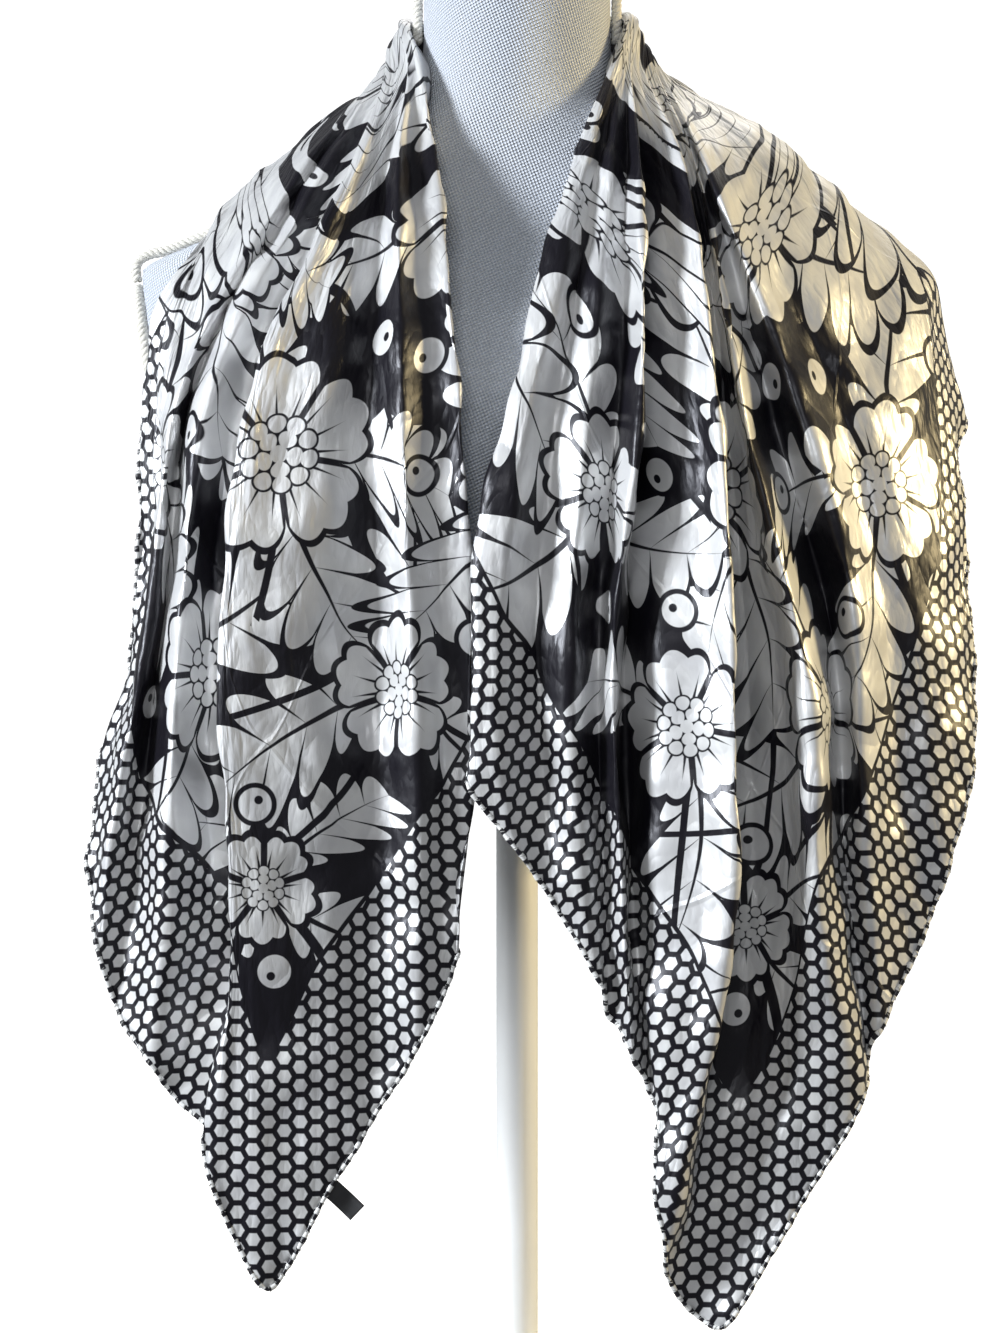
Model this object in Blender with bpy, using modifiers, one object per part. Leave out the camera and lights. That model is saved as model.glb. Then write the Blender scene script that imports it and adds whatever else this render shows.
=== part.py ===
"""A square satin scarf draped over a limbless dress form on a pole stand.

The scarf is gathered behind the neck and its two opposite corners fan out down the
front. Each front is a wall of cloth lofted through its folds. Metres, +Z up, the
front faces -Y, and the origin is under the middle of the stand's base.
"""

import math
from collections import namedtuple

import bpy
import numpy as np

CLOTH_WALL = 0.0010
SEAM_GAP = 0.0003

# The folds are charted on the front view, one chart square to CHART_STEP on the
# plane CHART_DEPTH in front of the axis. What lies deeper is wider by its distance.
CHART_STEP = 0.000475
CHART_DEPTH = -0.100
CHART_EYE = -1.800
CHART_X = -0.0086
CHART_Z = 0.413
CHART_MID_COLUMN = 500
CHART_MID_ROW = 666.5
FOLD_ROWS = 25
FOLD_STEPS = 2
FOLD_LEAD = 0.40

# The gathered stretch around the neck is a band whose section is an arch: it rises
# beside the neck, turns over and falls outwards. One row a point of that section,
# with its height at each side of the neck.
BandPoint = namedtuple("BandPoint", "radius right_height left_height")
BAND_SECTION = (
    BandPoint(0.0539, 0.7365, 0.7325),
    BandPoint(0.0553, 0.7408, 0.7368),
    BandPoint(0.0584, 0.7412, 0.7374),
    BandPoint(0.0622, 0.7350, 0.7310),
    BandPoint(0.0667, 0.7272, 0.7200),
    BandPoint(0.0722, 0.7205, 0.7090),
    BandPoint(0.0820, 0.7125, 0.6975),
)
BAND_RISE = 0.0080
BAND_START = math.radians(35)
BAND_GAP = 0.0098
BAND_PLEATS = 8
BAND_PLEAT_DEPTH = 0.0008
BAND_STATIONS = 14

# Where the fans leave the sides of the neck: from the inner edge to the outer.
THROAT_INNER = (0.0462, -0.0300, 0.7150)
THROAT_OUTER_LEFT = (0.0930, 0.0100, 0.6915)
THROAT_OUTER_RIGHT = (0.0895, 0.0330, 0.7075)
THROAT_CROWDING = 0.10
THROAT_TURN = math.radians(24)
THROAT_PLEAT = 0.0013
THROAT_HOOK = (-0.0018, 0.0073, -0.0055)

NECK_HALF_WIDTH = 0.0475
ARMHOLE_TOP_X = 0.1895
ARMHOLE_TOP_Z = 0.617
ARMHOLE_SLOPE = 0.18
ARMHOLE_CENTRE_Z = 0.561
BRAID_RADIUS = 0.0022
RING_BRAID_RADIUS = 0.0028

FORM_BOTTOM = 0.372
FORM_TOP = 0.780
FORM_AROUND = 40
POLE_RADIUS = 0.0105
BASE_RADIUS = 0.135
BASE_HEIGHT = 0.014

# One row a height of the form: half width, depth to the front and to the back.
FormSection = namedtuple("FormSection", "z half_width front back power")
FORM_SECTIONS = (
    FormSection(0.372, 0.126, 0.082, 0.076, 2.3),
    FormSection(0.420, 0.140, 0.092, 0.084, 2.3),
    FormSection(0.470, 0.155, 0.102, 0.092, 2.3),
    FormSection(0.510, 0.168, 0.107, 0.096, 2.3),
    FormSection(0.545, 0.181, 0.104, 0.098, 2.3),
    FormSection(0.575, 0.192, 0.092, 0.094, 2.2),
    FormSection(0.598, 0.195, 0.076, 0.086, 2.1),
    FormSection(0.612, 0.187, 0.066, 0.076, 2.0),
    FormSection(0.620, 0.171, 0.062, 0.070, 2.0),
    FormSection(0.630, 0.150, 0.059, 0.065, 2.0),
    FormSection(0.640, 0.131, 0.057, 0.061, 2.0),
    FormSection(0.650, 0.113, 0.055, 0.058, 2.0),
    FormSection(0.660, 0.096, 0.053, 0.056, 2.0),
    FormSection(0.670, 0.080, 0.051, 0.054, 2.0),
    FormSection(0.680, 0.066, 0.049, 0.052, 2.0),
    FormSection(0.692, 0.0545, 0.0475, 0.050, 2.0),
    FormSection(0.706, 0.0490, 0.0460, 0.0485, 2.0),
    FormSection(0.725, 0.0475, 0.0450, 0.0475, 2.0),
    FormSection(0.780, 0.0475, 0.0450, 0.0475, 2.0),
)

# One row a fold line, from the edge at the opening round to the arm. q is how far
# the line lies across the cloth from the corner's own diagonal, in metres, and
# lift is 1 on a crest and -1 in a valley. Each station is the chart's column and
# row and the depth in millimetres.
Fold = namedtuple("Fold", "name q lift shoulder chest waist low hem")

LEFT_FOLDS = (
    Fold("inner_return", -0.170, -1,
         (418, 166, -57), (430, 394, -109), (446, 610, -109), (444, 790, -109), (438, 936, -112)),
    Fold("inner_edge", -0.135, 0.3,
         (436, 160, -68), (459, 390, -123), (470, 600, -122), (472, 795, -122), (457, 953, -125)),
    Fold("band_valley", -0.115, -0.3,
         (411, 160, -64), (430, 390, -120), (440, 610, -121), (446, 820, -122), (436, 1010, -128)),
    Fold("inner_crest", -0.095, 1,
         (399, 161, -75), (402, 390, -130), (410, 620, -133), (420, 850, -132), (416, 1048, -130)),
    Fold("soft_valley", -0.070, -1,
         (388, 162, -65), (370, 390, -119), (374, 630, -123), (378, 880, -126), (376, 1112, -128)),
    Fold("broad_rise", -0.040, 0,
         (378, 162, -69), (328, 385, -123), (322, 640, -132), (322, 920, -132), (330, 1187, -129)),
    Fold("tip_line", 0.000, 0,
         (367, 163, -71), (290, 380, -125), (268, 650, -138), (268, 960, -137), (269, 1288, -130)),
    Fold("crest_face", 0.030, 1,
         (358, 164, -75), (264, 372, -128), (232, 655, -141), (242, 950, -139), (228, 1222, -131)),
    Fold("sharp_crest", 0.050, 1,
         (350, 166, -72), (254, 372, -126), (219, 655, -139), (229, 950, -137), (199, 1142, -131)),
    Fold("tuck_under", 0.065, -1,
         (354, 174, -57), (262, 380, -106), (230, 655, -119), (238, 950, -121), (207, 1126, -121)),
    Fold("recess_face", 0.085, -1,
         (337, 178, -54), (238, 380, -99), (204, 655, -112), (204, 940, -116), (178, 1100, -116)),
    Fold("soft_ridge", 0.120, 1,
         (318, 182, -60), (214, 378, -103), (178, 650, -118), (164, 900, -121), (150, 1061, -115)),
    Fold("outer_valley", 0.150, -1,
         (304, 186, -50), (198, 378, -86), (162, 640, -98), (136, 860, -105), (121, 1014, -107)),
    Fold("outer_ridge", 0.190, 1,
         (290, 188, -56), (184, 378, -94), (150, 620, -104), (116, 810, -108), (98, 950, -107)),
    Fold("side_fall", 0.230, 0,
         (276, 192, -46), (174, 372, -80), (152, 560, -88), (124, 735, -92), (88, 868, -95)),
    Fold("side_hem", 0.260, 0,
         (262, 196, -39), (172, 345, -74), (160, 520, -78), (142, 660, -81), (101, 771, -80)),
    Fold("side_upper", 0.290, 0,
         (248, 200, -30), (186, 290, -64), (153, 440, -70), (146, 560, -71), (132, 672, -66)),
    Fold("side_middle", 0.310, 0,
         (238, 203, -23), (188, 270, -60), (153, 375, -64), (145, 460, -67), (137, 545, -66)),
    Fold("side_edge", 0.330, 1,
         (228, 206, -12), (186, 258, -52), (152, 315, -56), (143, 370, -58), (141, 415, -60)),
    Fold("side_return", 0.350, -1,
         (236, 216, -3), (197, 261, -45), (166, 318, -49), (156, 366, -50), (154, 404, -52)),
)

RIGHT_FOLDS = (
    Fold("inner_return", -0.245, 0,
         (592, 162, -54), (524, 398, -108), (494, 590, -113), (490, 690, -114), (488, 748, -116)),
    Fold("inner_edge", -0.215, 0,
         (573, 158, -67), (506, 400, -122), (472, 575, -131), (470, 690, -132), (467, 782, -131)),
    Fold("inner_face", -0.180, 0,
         (586, 160, -72), (530, 405, -127), (500, 600, -135), (497, 730, -135), (508, 838, -132)),
    Fold("strip_valley", -0.150, 0,
         (599, 161, -65), (558, 408, -119), (536, 610, -124), (542, 770, -126), (550, 897, -128)),
    Fold("middle_face", -0.120, 0,
         (612, 162, -71), (588, 410, -125), (572, 612, -131), (574, 800, -131), (589, 962, -130)),
    Fold("valley_a", -0.095, 0,
         (627, 165, -64), (620, 412, -118), (600, 622, -122), (603, 850, -125), (613, 1020, -128)),
    Fold("ridge_a", -0.080, 1,
         (640, 165, -82), (641, 412, -135), (614, 640, -139), (622, 880, -135), (632, 1054, -131)),
    Fold("tuck_a", -0.068, -1,
         (641, 174, -62), (638, 418, -115), (624, 650, -120), (632, 900, -124), (648, 1088, -127)),
    Fold("panel_rise", -0.055, 0,
         (656, 174, -67), (668, 420, -122), (655, 664, -128), (652, 920, -129), (655, 1130, -128)),
    Fold("panel_face", -0.042, 0,
         (672, 175, -73), (698, 420, -129), (706, 672, -138), (700, 940, -137), (657, 1192, -130)),
    Fold("ridge_b", -0.028, 1,
         (687, 175, -82), (719, 420, -139), (735, 684, -148), (731, 940, -144), (666, 1246, -132)),
    Fold("tuck_b", -0.015, -1,
         (688, 182, -70), (715, 426, -114), (731, 694, -119), (727, 950, -123), (674, 1290, -124)),
    Fold("recess_in", 0.000, -1,
         (692, 186, -65), (728, 430, -109), (750, 704, -116), (748, 970, -121), (721, 1327, -125)),
    Fold("recess_out", 0.060, 0,
         (699, 186, -66), (740, 430, -113), (782, 700, -121), (786, 960, -123), (772, 1252, -124)),
    Fold("ridge_c", 0.140, 1,
         (702, 184, -73), (747, 424, -127), (811, 690, -139), (824, 930, -133), (862, 1100, -121)),
    Fold("valley_cd", 0.165, -1,
         (709, 184, -65), (773, 420, -106), (832, 640, -108), (846, 880, -114), (866, 1062, -114)),
    Fold("ridge_d", 0.190, 1,
         (712, 180, -77), (800, 405, -115), (850, 590, -121), (862, 800, -119), (880, 1028, -113)),
    Fold("after_d", 0.220, -1,
         (724, 176, -60), (828, 398, -97), (878, 590, -105), (900, 790, -108), (923, 936, -106)),
    Fold("fan_inner", 0.255, 0,
         (738, 170, -46), (858, 386, -85), (908, 570, -95), (930, 740, -98), (950, 861, -97)),
    Fold("fan_middle", 0.280, 0,
         (752, 162, -35), (882, 366, -71), (934, 540, -83), (954, 680, -86), (966, 787, -86)),
    Fold("fan_outer", 0.305, 0,
         (766, 149, -22), (903, 340, -55), (946, 490, -67), (962, 600, -70), (973, 695, -72)),
    Fold("fan_side", 0.330, 0,
         (779, 145, -8), (918, 308, -37), (946, 420, -48), (960, 500, -52), (969, 573, -54)),
    Fold("fan_edge", 0.350, 0,
         (787, 147, 8), (924, 284, -16), (940, 350, -28), (950, 410, -32), (957, 465, -34)),
    Fold("back_turn", 0.380, 1,
         (782, 164, 26), (922, 264, 8), (940, 318, 4), (950, 362, 4), (959, 400, 6)),
    Fold("back_fall", 0.420, 0,
         (764, 196, 48), (898, 268, 38), (918, 306, 38), (928, 338, 40), (936, 366, 42)),
    Fold("back_hem", 0.450, 0,
         (745, 230, 66), (860, 276, 60), (884, 306, 63), (894, 334, 66), (902, 358, 68)),
)

LABEL_LENGTH = 0.021
LABEL_WIDTH = 0.0095
LABEL_THICK = 0.0008


def new_collection(name, hidden=False):
    collection = bpy.data.collections.new(name)
    bpy.context.scene.collection.children.link(collection)
    collection.hide_render = hidden
    return collection


def new_material(name, colour, roughness, metallic=0.0):
    material = bpy.data.materials.new(name)
    material.use_nodes = True
    shader = material.node_tree.nodes["Principled BSDF"]
    shader.inputs["Base Color"].default_value = (*colour, 1.0)
    shader.inputs["Roughness"].default_value = roughness
    shader.inputs["Metallic"].default_value = metallic
    material.diffuse_color = (*colour, 1.0)
    return material


def new_object(name, points, faces, material, collection):
    mesh = bpy.data.meshes.new(name)
    mesh.from_pydata([tuple(map(float, point)) for point in points], [], faces)
    mesh.update()
    obj = bpy.data.objects.new(name, mesh)
    obj.data.materials.append(material)
    collection.objects.link(obj)
    mesh.shade_smooth()
    mesh.set_sharp_from_angle(angle=math.radians(40))
    return obj


def smooth_run(points, count, lead=None):
    """Points on a centripetal Catmull-Rom curve, at even steps of length, or at
    steps that start as they would on a curve lead long."""
    knots = np.asarray(points, float)
    ends = np.vstack([2 * knots[0] - knots[1], knots, 2 * knots[-1] - knots[-2]])
    steps = np.sqrt(np.linalg.norm(np.diff(ends, axis=0), axis=1)).clip(1e-5)
    at = np.concatenate([[0], np.cumsum(steps)])
    fine = []
    for k in range(1, len(ends) - 2):
        t = np.linspace(at[k], at[k + 1], 24, endpoint=k == len(ends) - 3)[:, None]
        a = [
            ((at[j + 1] - t) * ends[j] + (t - at[j]) * ends[j + 1]) / (at[j + 1] - at[j])
            for j in (k - 1, k, k + 1)
        ]
        b = [
            ((at[j + 2] - t) * a[i] + (t - at[j]) * a[i + 1]) / (at[j + 2] - at[j])
            for i, j in enumerate((k - 1, k))
        ]
        fine.append(((at[k + 1] - t) * b[0] + (t - at[k]) * b[1]) / (at[k + 1] - at[k]))
    fine = np.vstack(fine)
    length = np.concatenate([[0], np.cumsum(np.linalg.norm(np.diff(fine, axis=0), axis=1))])
    steps = np.linspace(0, 1, count)
    lead = length[-1] if lead is None else lead
    wanted = steps * lead + (length[-1] - lead) * steps**2
    return np.stack([np.interp(wanted, length, fine[:, c]) for c in range(3)], axis=1)


def between_lines(lines, steps):
    """The rows of lines with smooth columns added between neighbouring lines."""
    lines = np.asarray(lines)
    count = len(lines)
    columns = []
    for i in range(count - 1):
        before = lines[max(i - 1, 0)]
        after = lines[min(i + 2, count - 1)]
        here, there = lines[i], lines[i + 1]
        span = np.linalg.norm(there - here, axis=1, keepdims=True)
        lead = np.linalg.norm(here - before, axis=1, keepdims=True).clip(1e-6)
        trail = np.linalg.norm(after - there, axis=1, keepdims=True).clip(1e-6)
        if i == 0:
            slope_here = (there - here)
        else:
            slope_here = ((here - before) / lead + (there - here) / span) * np.minimum(lead, span) / 2
        if i == count - 2:
            slope_there = (there - here)
        else:
            slope_there = ((there - here) / span + (after - there) / trail) * np.minimum(trail, span) / 2
        for step in range(steps):
            t = step / steps
            columns.append(
                (2 * t**3 - 3 * t**2 + 1) * here
                + (t**3 - 2 * t**2 + t) * slope_here
                + (3 * t**2 - 2 * t**3) * there
                + (t**3 - t**2) * slope_there
            )
    columns.append(lines[-1])
    return np.asarray(columns)


def charted(column, row, depth_mm):
    """A point of the chart in metres."""
    depth = depth_mm / 1000
    scale = CHART_STEP * (depth - CHART_EYE) / (CHART_DEPTH - CHART_EYE)
    x = CHART_X + (column - CHART_MID_COLUMN) * scale
    z = CHART_Z - (row - CHART_MID_ROW) * scale
    return (x, depth, z)


def section_run(across, count):
    """Even points along the arch of the band's section, as radius and height, where
    across runs from 0 at the right side of the neck to 1 at the left."""
    points = []
    for point in BAND_SECTION:
        height = point.right_height * (1 - across) + point.left_height * across
        points.append((point.radius, 0, height))
    return smooth_run(points, count)[:, [0, 2]]


def lift_at(folds, share):
    """How far a fold stands out at a share of the way across the cloth."""
    lifts = [fold.lift for fold in folds]
    return float(np.interp(share * (len(lifts) - 1), range(len(lifts)), lifts))


def band_point(share, turn, side=1.0, ripple=0.0):
    """A point of the gathered band: share runs down its section from the lip beside
    the neck, turn is the angle behind the neck's side, and side is 1 on +X."""
    across = turn / math.pi
    section = section_run(across if side > 0 else 1 - across, 61)
    at = share * 60
    low = min(int(at), 59)
    radius, height = section[low] + (section[low + 1] - section[low]) * (at - low)
    slope = section[min(low + 1, 60)] - section[low]
    slope /= np.linalg.norm(slope)
    radius -= slope[1] * ripple
    height += slope[0] * ripple
    height += BAND_RISE * max(0.0, math.sin(turn))
    return (side * radius * math.cos(turn), radius * math.sin(turn), height)


def throat_point(share, side, lift):
    """A point where the fan leaves the side of the neck."""
    inner = np.array(THROAT_INNER)
    outer = np.array(THROAT_OUTER_RIGHT if side > 0 else THROAT_OUTER_LEFT)
    point = inner + (outer - inner) * share * (1 - THROAT_CROWDING * (1 - share))
    point = point + np.array(THROAT_HOOK) * max(0.0, 1 - share * 18)
    along = (outer - inner) / np.linalg.norm(outer - inner)
    outward = np.array([0.35, -0.62, 0.70])
    outward -= along * outward.dot(along)
    point = point + outward / np.linalg.norm(outward) * THROAT_PLEAT * lift
    return (side * point[0], point[1], point[2])


def fold_line(fold, share, side):
    """The run of one fold from the back of the neck to the hem."""
    ripple = BAND_PLEAT_DEPTH * fold.lift
    behind = band_point(share, BAND_START - BAND_GAP, side, ripple)
    beside = band_point(share, THROAT_TURN * share, side, ripple)
    stations = [behind, beside, throat_point(share, side, fold.lift)]
    stations += [charted(*station) for station in fold[3:]]
    return smooth_run(stations, FOLD_ROWS, FOLD_LEAD)


def grid_faces(grid):
    """Two triangles a cell, split along the shorter diagonal, so that both sides of
    the wall bend alike."""
    columns, rows = grid.shape[:2]
    faces = []
    for c in range(columns - 1):
        for r in range(rows - 1):
            a, b = c * rows + r, (c + 1) * rows + r
            rising = np.linalg.norm(grid[c + 1, r + 1] - grid[c, r])
            falling = np.linalg.norm(grid[c + 1, r] - grid[c, r + 1])
            if rising < falling:
                faces += [(a, b, b + 1), (a, b + 1, a + 1)]
            else:
                faces += [(a, b, a + 1), (b, b + 1, a + 1)]
    return faces


def cloth_wall(name, grid, material, collection):
    """A wall of cloth on a grid of points, half its thickness to each side."""
    obj = new_object(name, grid.reshape(-1, 3), grid_faces(grid), material, collection)
    wall = obj.modifiers.new("Wall", "SOLIDIFY")
    wall.thickness = CLOTH_WALL
    wall.offset = 0.0
    wall.use_even_offset = True
    return obj


def front_grid(folds, side):
    last = len(folds) - 1
    lines = [fold_line(fold, i / last, side) for i, fold in enumerate(folds)]
    if side > 0:
        lines = lines[::-1]
    return between_lines(lines, FOLD_STEPS)


def make_front(name, folds, side, material, collection):
    """One of the two fronts that fan out from the side of the neck."""
    return cloth_wall(name, front_grid(folds, side), material, collection)


def make_neck_roll(material, collection):
    """The gathered stretch behind the neck. Its folds run on into both fronts."""
    shares = np.linspace(0, 1, 4 * BAND_PLEATS + 1)
    turns = np.linspace(BAND_START, math.pi - BAND_START, BAND_STATIONS)
    grid = []
    for share in shares:
        own = math.cos(2 * math.pi * BAND_PLEATS * share)
        ends = (lift_at(RIGHT_FOLDS, share), lift_at(LEFT_FOLDS, share))
        line = []
        for turn in turns:
            across = (turn - BAND_START) / (math.pi - 2 * BAND_START)
            middle = math.sin(math.pi * across) ** 0.5
            lift = ends[0] * (1 - across) + ends[1] * across
            lift = lift * (1 - middle) + own * middle
            line.append(band_point(share, turn, 1.0, BAND_PLEAT_DEPTH * lift))
        grid.append(line)
    return cloth_wall("scarf_neck_roll", np.array(grid), material, collection)


def form_section(z):
    heights = [section.z for section in FORM_SECTIONS]
    return [
        float(np.interp(z, heights, [getattr(section, field) for section in FORM_SECTIONS]))
        for field in ("half_width", "front", "back", "power")
    ]


def armhole_x(z):
    """How far out the flat of the armhole lies at a height."""
    return ARMHOLE_TOP_X - ARMHOLE_SLOPE * (ARMHOLE_TOP_Z - z)


def form_ring(z, grow=0.0):
    half_width, front, back, power = form_section(z)
    ring = []
    for k in range(FORM_AROUND):
        angle = 2 * math.pi * (k + 0.5) / FORM_AROUND
        c, s = math.cos(angle), math.sin(angle)
        x = math.copysign(abs(c) ** (2 / power), c) * (half_width + grow)
        y = math.copysign(abs(s) ** (2 / power), s) * ((back if s > 0 else front) + grow)
        flat = armhole_x(z) + grow
        if z < ARMHOLE_TOP_Z:
            x = max(-flat, min(flat, x))
        ring.append((x, y, z))
    return ring


def make_torso(material, collection):
    """The form's body and neck, closed flat at both ends."""
    heights = []
    for low, high in zip(FORM_SECTIONS[:-1], FORM_SECTIONS[1:]):
        parts = 2 if high.z - low.z > 0.025 else 1
        heights += [low.z + (high.z - low.z) * i / parts for i in range(parts)]
    heights.append(FORM_SECTIONS[-1].z)
    points = [point for z in heights for point in form_ring(z)]
    n = FORM_AROUND
    faces = [
        (r * n + k, r * n + (k + 1) % n, (r + 1) * n + (k + 1) % n, (r + 1) * n + k)
        for r in range(len(heights) - 1)
        for k in range(n)
    ]
    faces.append(tuple(range(n))[::-1])
    faces.append(tuple(range((len(heights) - 1) * n, len(heights) * n)))
    return new_object("form_torso", points, faces, material, collection)


def turned(name, profile, steps, material, collection):
    """A solid turned about the vertical axis from a profile of (radius, height)."""
    obj = new_object(name, [(r, 0, z) for r, z in profile], [], material, collection)
    mesh = obj.data
    mesh.edges.add(len(profile) - 1)
    for i, edge in enumerate(mesh.edges):
        edge.vertices = (i, i + 1)
    screw = obj.modifiers.new("Turn", "SCREW")
    screw.steps = steps
    screw.render_steps = steps
    screw.use_merge_vertices = True
    screw.merge_threshold = 0.00005
    screw.use_normal_flip = True
    return obj


def make_neck_cap(material, collection):
    low = FORM_TOP + SEAM_GAP
    profile = (
        (0.0, low),
        (0.046, low),
        (0.0478, low + 0.002),
        (0.0470, low + 0.005),
        (0.036, low + 0.0075),
        (0.0, low + 0.009),
    )
    cap = turned("form_neck_cap", profile, 32, material, collection)
    return cap


def armhole_oval(semi_y, semi_z, out, count):
    """Points of an oval on the slanted flat of the armhole on +X."""
    points = []
    for k in range(count):
        angle = 2 * math.pi * k / count
        z = ARMHOLE_CENTRE_Z + semi_z * math.sin(angle)
        points.append((armhole_x(z) + out, semi_y * math.cos(angle), z))
    return points


def make_armhole_plate(name, side, material, collection):
    """The flat plate that closes the form's armhole."""
    count = 32
    inner = armhole_oval(0.024, 0.036, SEAM_GAP, count)
    outer = armhole_oval(0.024, 0.036, SEAM_GAP + 0.0022, count)
    points = [(side * x, y, z) for x, y, z in inner + outer]
    faces = [(k, (k + 1) % count, count + (k + 1) % count, count + k) for k in range(count)]
    faces.append(tuple(range(count))[::-1])
    faces.append(tuple(range(count, 2 * count)))
    if side < 0:
        faces = [face[::-1] for face in faces]
    obj = new_object(name, points, faces, material, collection)
    edge = obj.modifiers.new("Edge", "BEVEL")
    edge.width = 0.0006
    edge.segments = 2
    return obj


def cord_curve(name, points, radius, closed, material, collection):
    """A round braid along a run of points."""
    curve = bpy.data.curves.new(name, "CURVE")
    curve.dimensions = "3D"
    curve.bevel_depth = radius
    curve.bevel_resolution = 2
    curve.use_fill_caps = True
    spline = curve.splines.new("POLY")
    spline.points.add(len(points) - 1)
    for target, point in zip(spline.points, points):
        target.co = (*map(float, point), 1.0)
    spline.use_cyclic_u = closed
    obj = bpy.data.objects.new(name, curve)
    obj.data.materials.append(material)
    collection.objects.link(obj)
    return obj


def make_neck_braid(name, side, material, collection):
    """The braid up the side seam of the neck."""
    x = NECK_HALF_WIDTH + BRAID_RADIUS + SEAM_GAP
    points = [(side * x, 0, 0.7265), (side * x, 0, FORM_TOP - 0.001)]
    return cord_curve(name, points, BRAID_RADIUS, False, material, collection)


def make_shoulder_braid(name, side, material, collection):
    """The braid along the shoulder seam, on the crest of the form."""
    crest = [(section.half_width, section.z) for section in FORM_SECTIONS if 0.614 < section.z < 0.70]
    crest = np.array(crest[::-1])
    inward = np.gradient(crest, axis=0)
    normal = np.stack([-inward[:, 1], inward[:, 0]], axis=1)
    normal /= np.linalg.norm(normal, axis=1, keepdims=True)
    lifted = crest + normal * (BRAID_RADIUS + SEAM_GAP * 2)
    points = [(side * x, 0.0, z) for x, z in lifted]
    points.insert(0, (side * 0.0535, 0.0, 0.7030))
    points.append((side * 0.1885, 0.0, 0.6198))
    return cord_curve(name, smooth_run(points, 22), BRAID_RADIUS, False, material, collection)


def make_armhole_braid(name, side, material, collection):
    """The braid round the armhole plate."""
    oval = armhole_oval(0.0285, 0.0415, RING_BRAID_RADIUS + SEAM_GAP, 28)
    points = [(side * x, y, z) for x, y, z in oval]
    return cord_curve(name, points, RING_BRAID_RADIUS, True, material, collection)


def make_pole(material, collection):
    profile = (
        (0.0, BASE_HEIGHT + 0.022 + SEAM_GAP),
        (POLE_RADIUS, BASE_HEIGHT + 0.022 + SEAM_GAP),
        (POLE_RADIUS, FORM_BOTTOM - 0.024 - 2 * SEAM_GAP),
        (0.0, FORM_BOTTOM - 0.024 - 2 * SEAM_GAP),
    )
    return turned("stand_pole", profile, 24, material, collection)


def make_collar(material, collection):
    """The collar that the form sits on."""
    top = FORM_BOTTOM - SEAM_GAP
    profile = (
        (0.0, top - 0.024),
        (0.0150, top - 0.024),
        (0.0165, top - 0.022),
        (0.0165, top - 0.006),
        (0.0300, top - 0.003),
        (0.0300, top),
        (0.0, top),
    )
    return turned("stand_collar", profile, 24, material, collection)


def make_base(material, collection):
    profile = (
        (0.0, 0.0),
        (BASE_RADIUS - 0.003, 0.0),
        (BASE_RADIUS, 0.003),
        (BASE_RADIUS, 0.009),
        (BASE_RADIUS - 0.004, BASE_HEIGHT - 0.001),
        (0.050, BASE_HEIGHT + 0.002),
        (0.024, BASE_HEIGHT + 0.008),
        (0.0165, BASE_HEIGHT + 0.014),
        (0.0155, BASE_HEIGHT + 0.022),
        (0.0, BASE_HEIGHT + 0.022),
    )
    return turned("stand_base", profile, 36, material, collection)


def make_label(material, collection):
    """The small blank label sewn behind the hem of the left front."""
    root = np.array(charted(325, 1183, -127.9))
    along = np.array([0.72, 0.10, -0.69])
    along /= np.linalg.norm(along)
    across = np.array([-0.60, 0.0, -0.62])
    across -= along * across.dot(along)
    across /= np.linalg.norm(across)
    points = []
    for i in range(5):
        share = i / 4
        sag = 0.0016 * math.sin(math.pi * share)
        for edge in (-0.5, 0.5):
            point = root + along * LABEL_LENGTH * share + across * LABEL_WIDTH * edge
            points.append(point + np.array([0, sag, 0]))
    faces = [(2 * i, 2 * i + 1, 2 * i + 3, 2 * i + 2) for i in range(4)]
    obj = new_object("label", points, faces, material, collection)
    wall = obj.modifiers.new("Wall", "SOLIDIFY")
    wall.thickness = LABEL_THICK
    wall.offset = 0.0
    return obj


def main():
    for obj in list(bpy.data.objects):
        bpy.data.objects.remove(obj, do_unlink=True)
    scarf = new_collection("satin_scarf_on_dress_form")
    satin = new_material("satin_print", (0.62, 0.61, 0.58), 0.32)
    canvas = new_material("canvas", (0.72, 0.76, 0.82), 0.85)
    braid = new_material("cotton_braid", (0.84, 0.82, 0.76), 0.8)
    painted = new_material("painted_steel", (0.80, 0.80, 0.79), 0.4)
    tape = new_material("woven_tape", (0.02, 0.02, 0.025), 0.6)

    make_torso(canvas, scarf)
    make_neck_cap(painted, scarf)
    for name, side in (("left", -1.0), ("right", 1.0)):
        make_armhole_plate(f"armhole_plate_{name}", side, painted, scarf)
        make_armhole_braid(f"braid_armhole_{name}", side, braid, scarf)
        make_neck_braid(f"braid_neck_{name}", side, braid, scarf)
        make_shoulder_braid(f"braid_shoulder_{name}", side, braid, scarf)
    make_collar(painted, scarf)
    make_pole(painted, scarf)
    make_base(painted, scarf)
    make_front("scarf_front_left", LEFT_FOLDS, -1.0, satin, scarf)
    make_front("scarf_front_right", RIGHT_FOLDS, 1.0, satin, scarf)
    make_neck_roll(satin, scarf)
    make_label(tape, scarf)


main()
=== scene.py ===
import math
from collections import namedtuple

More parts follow.
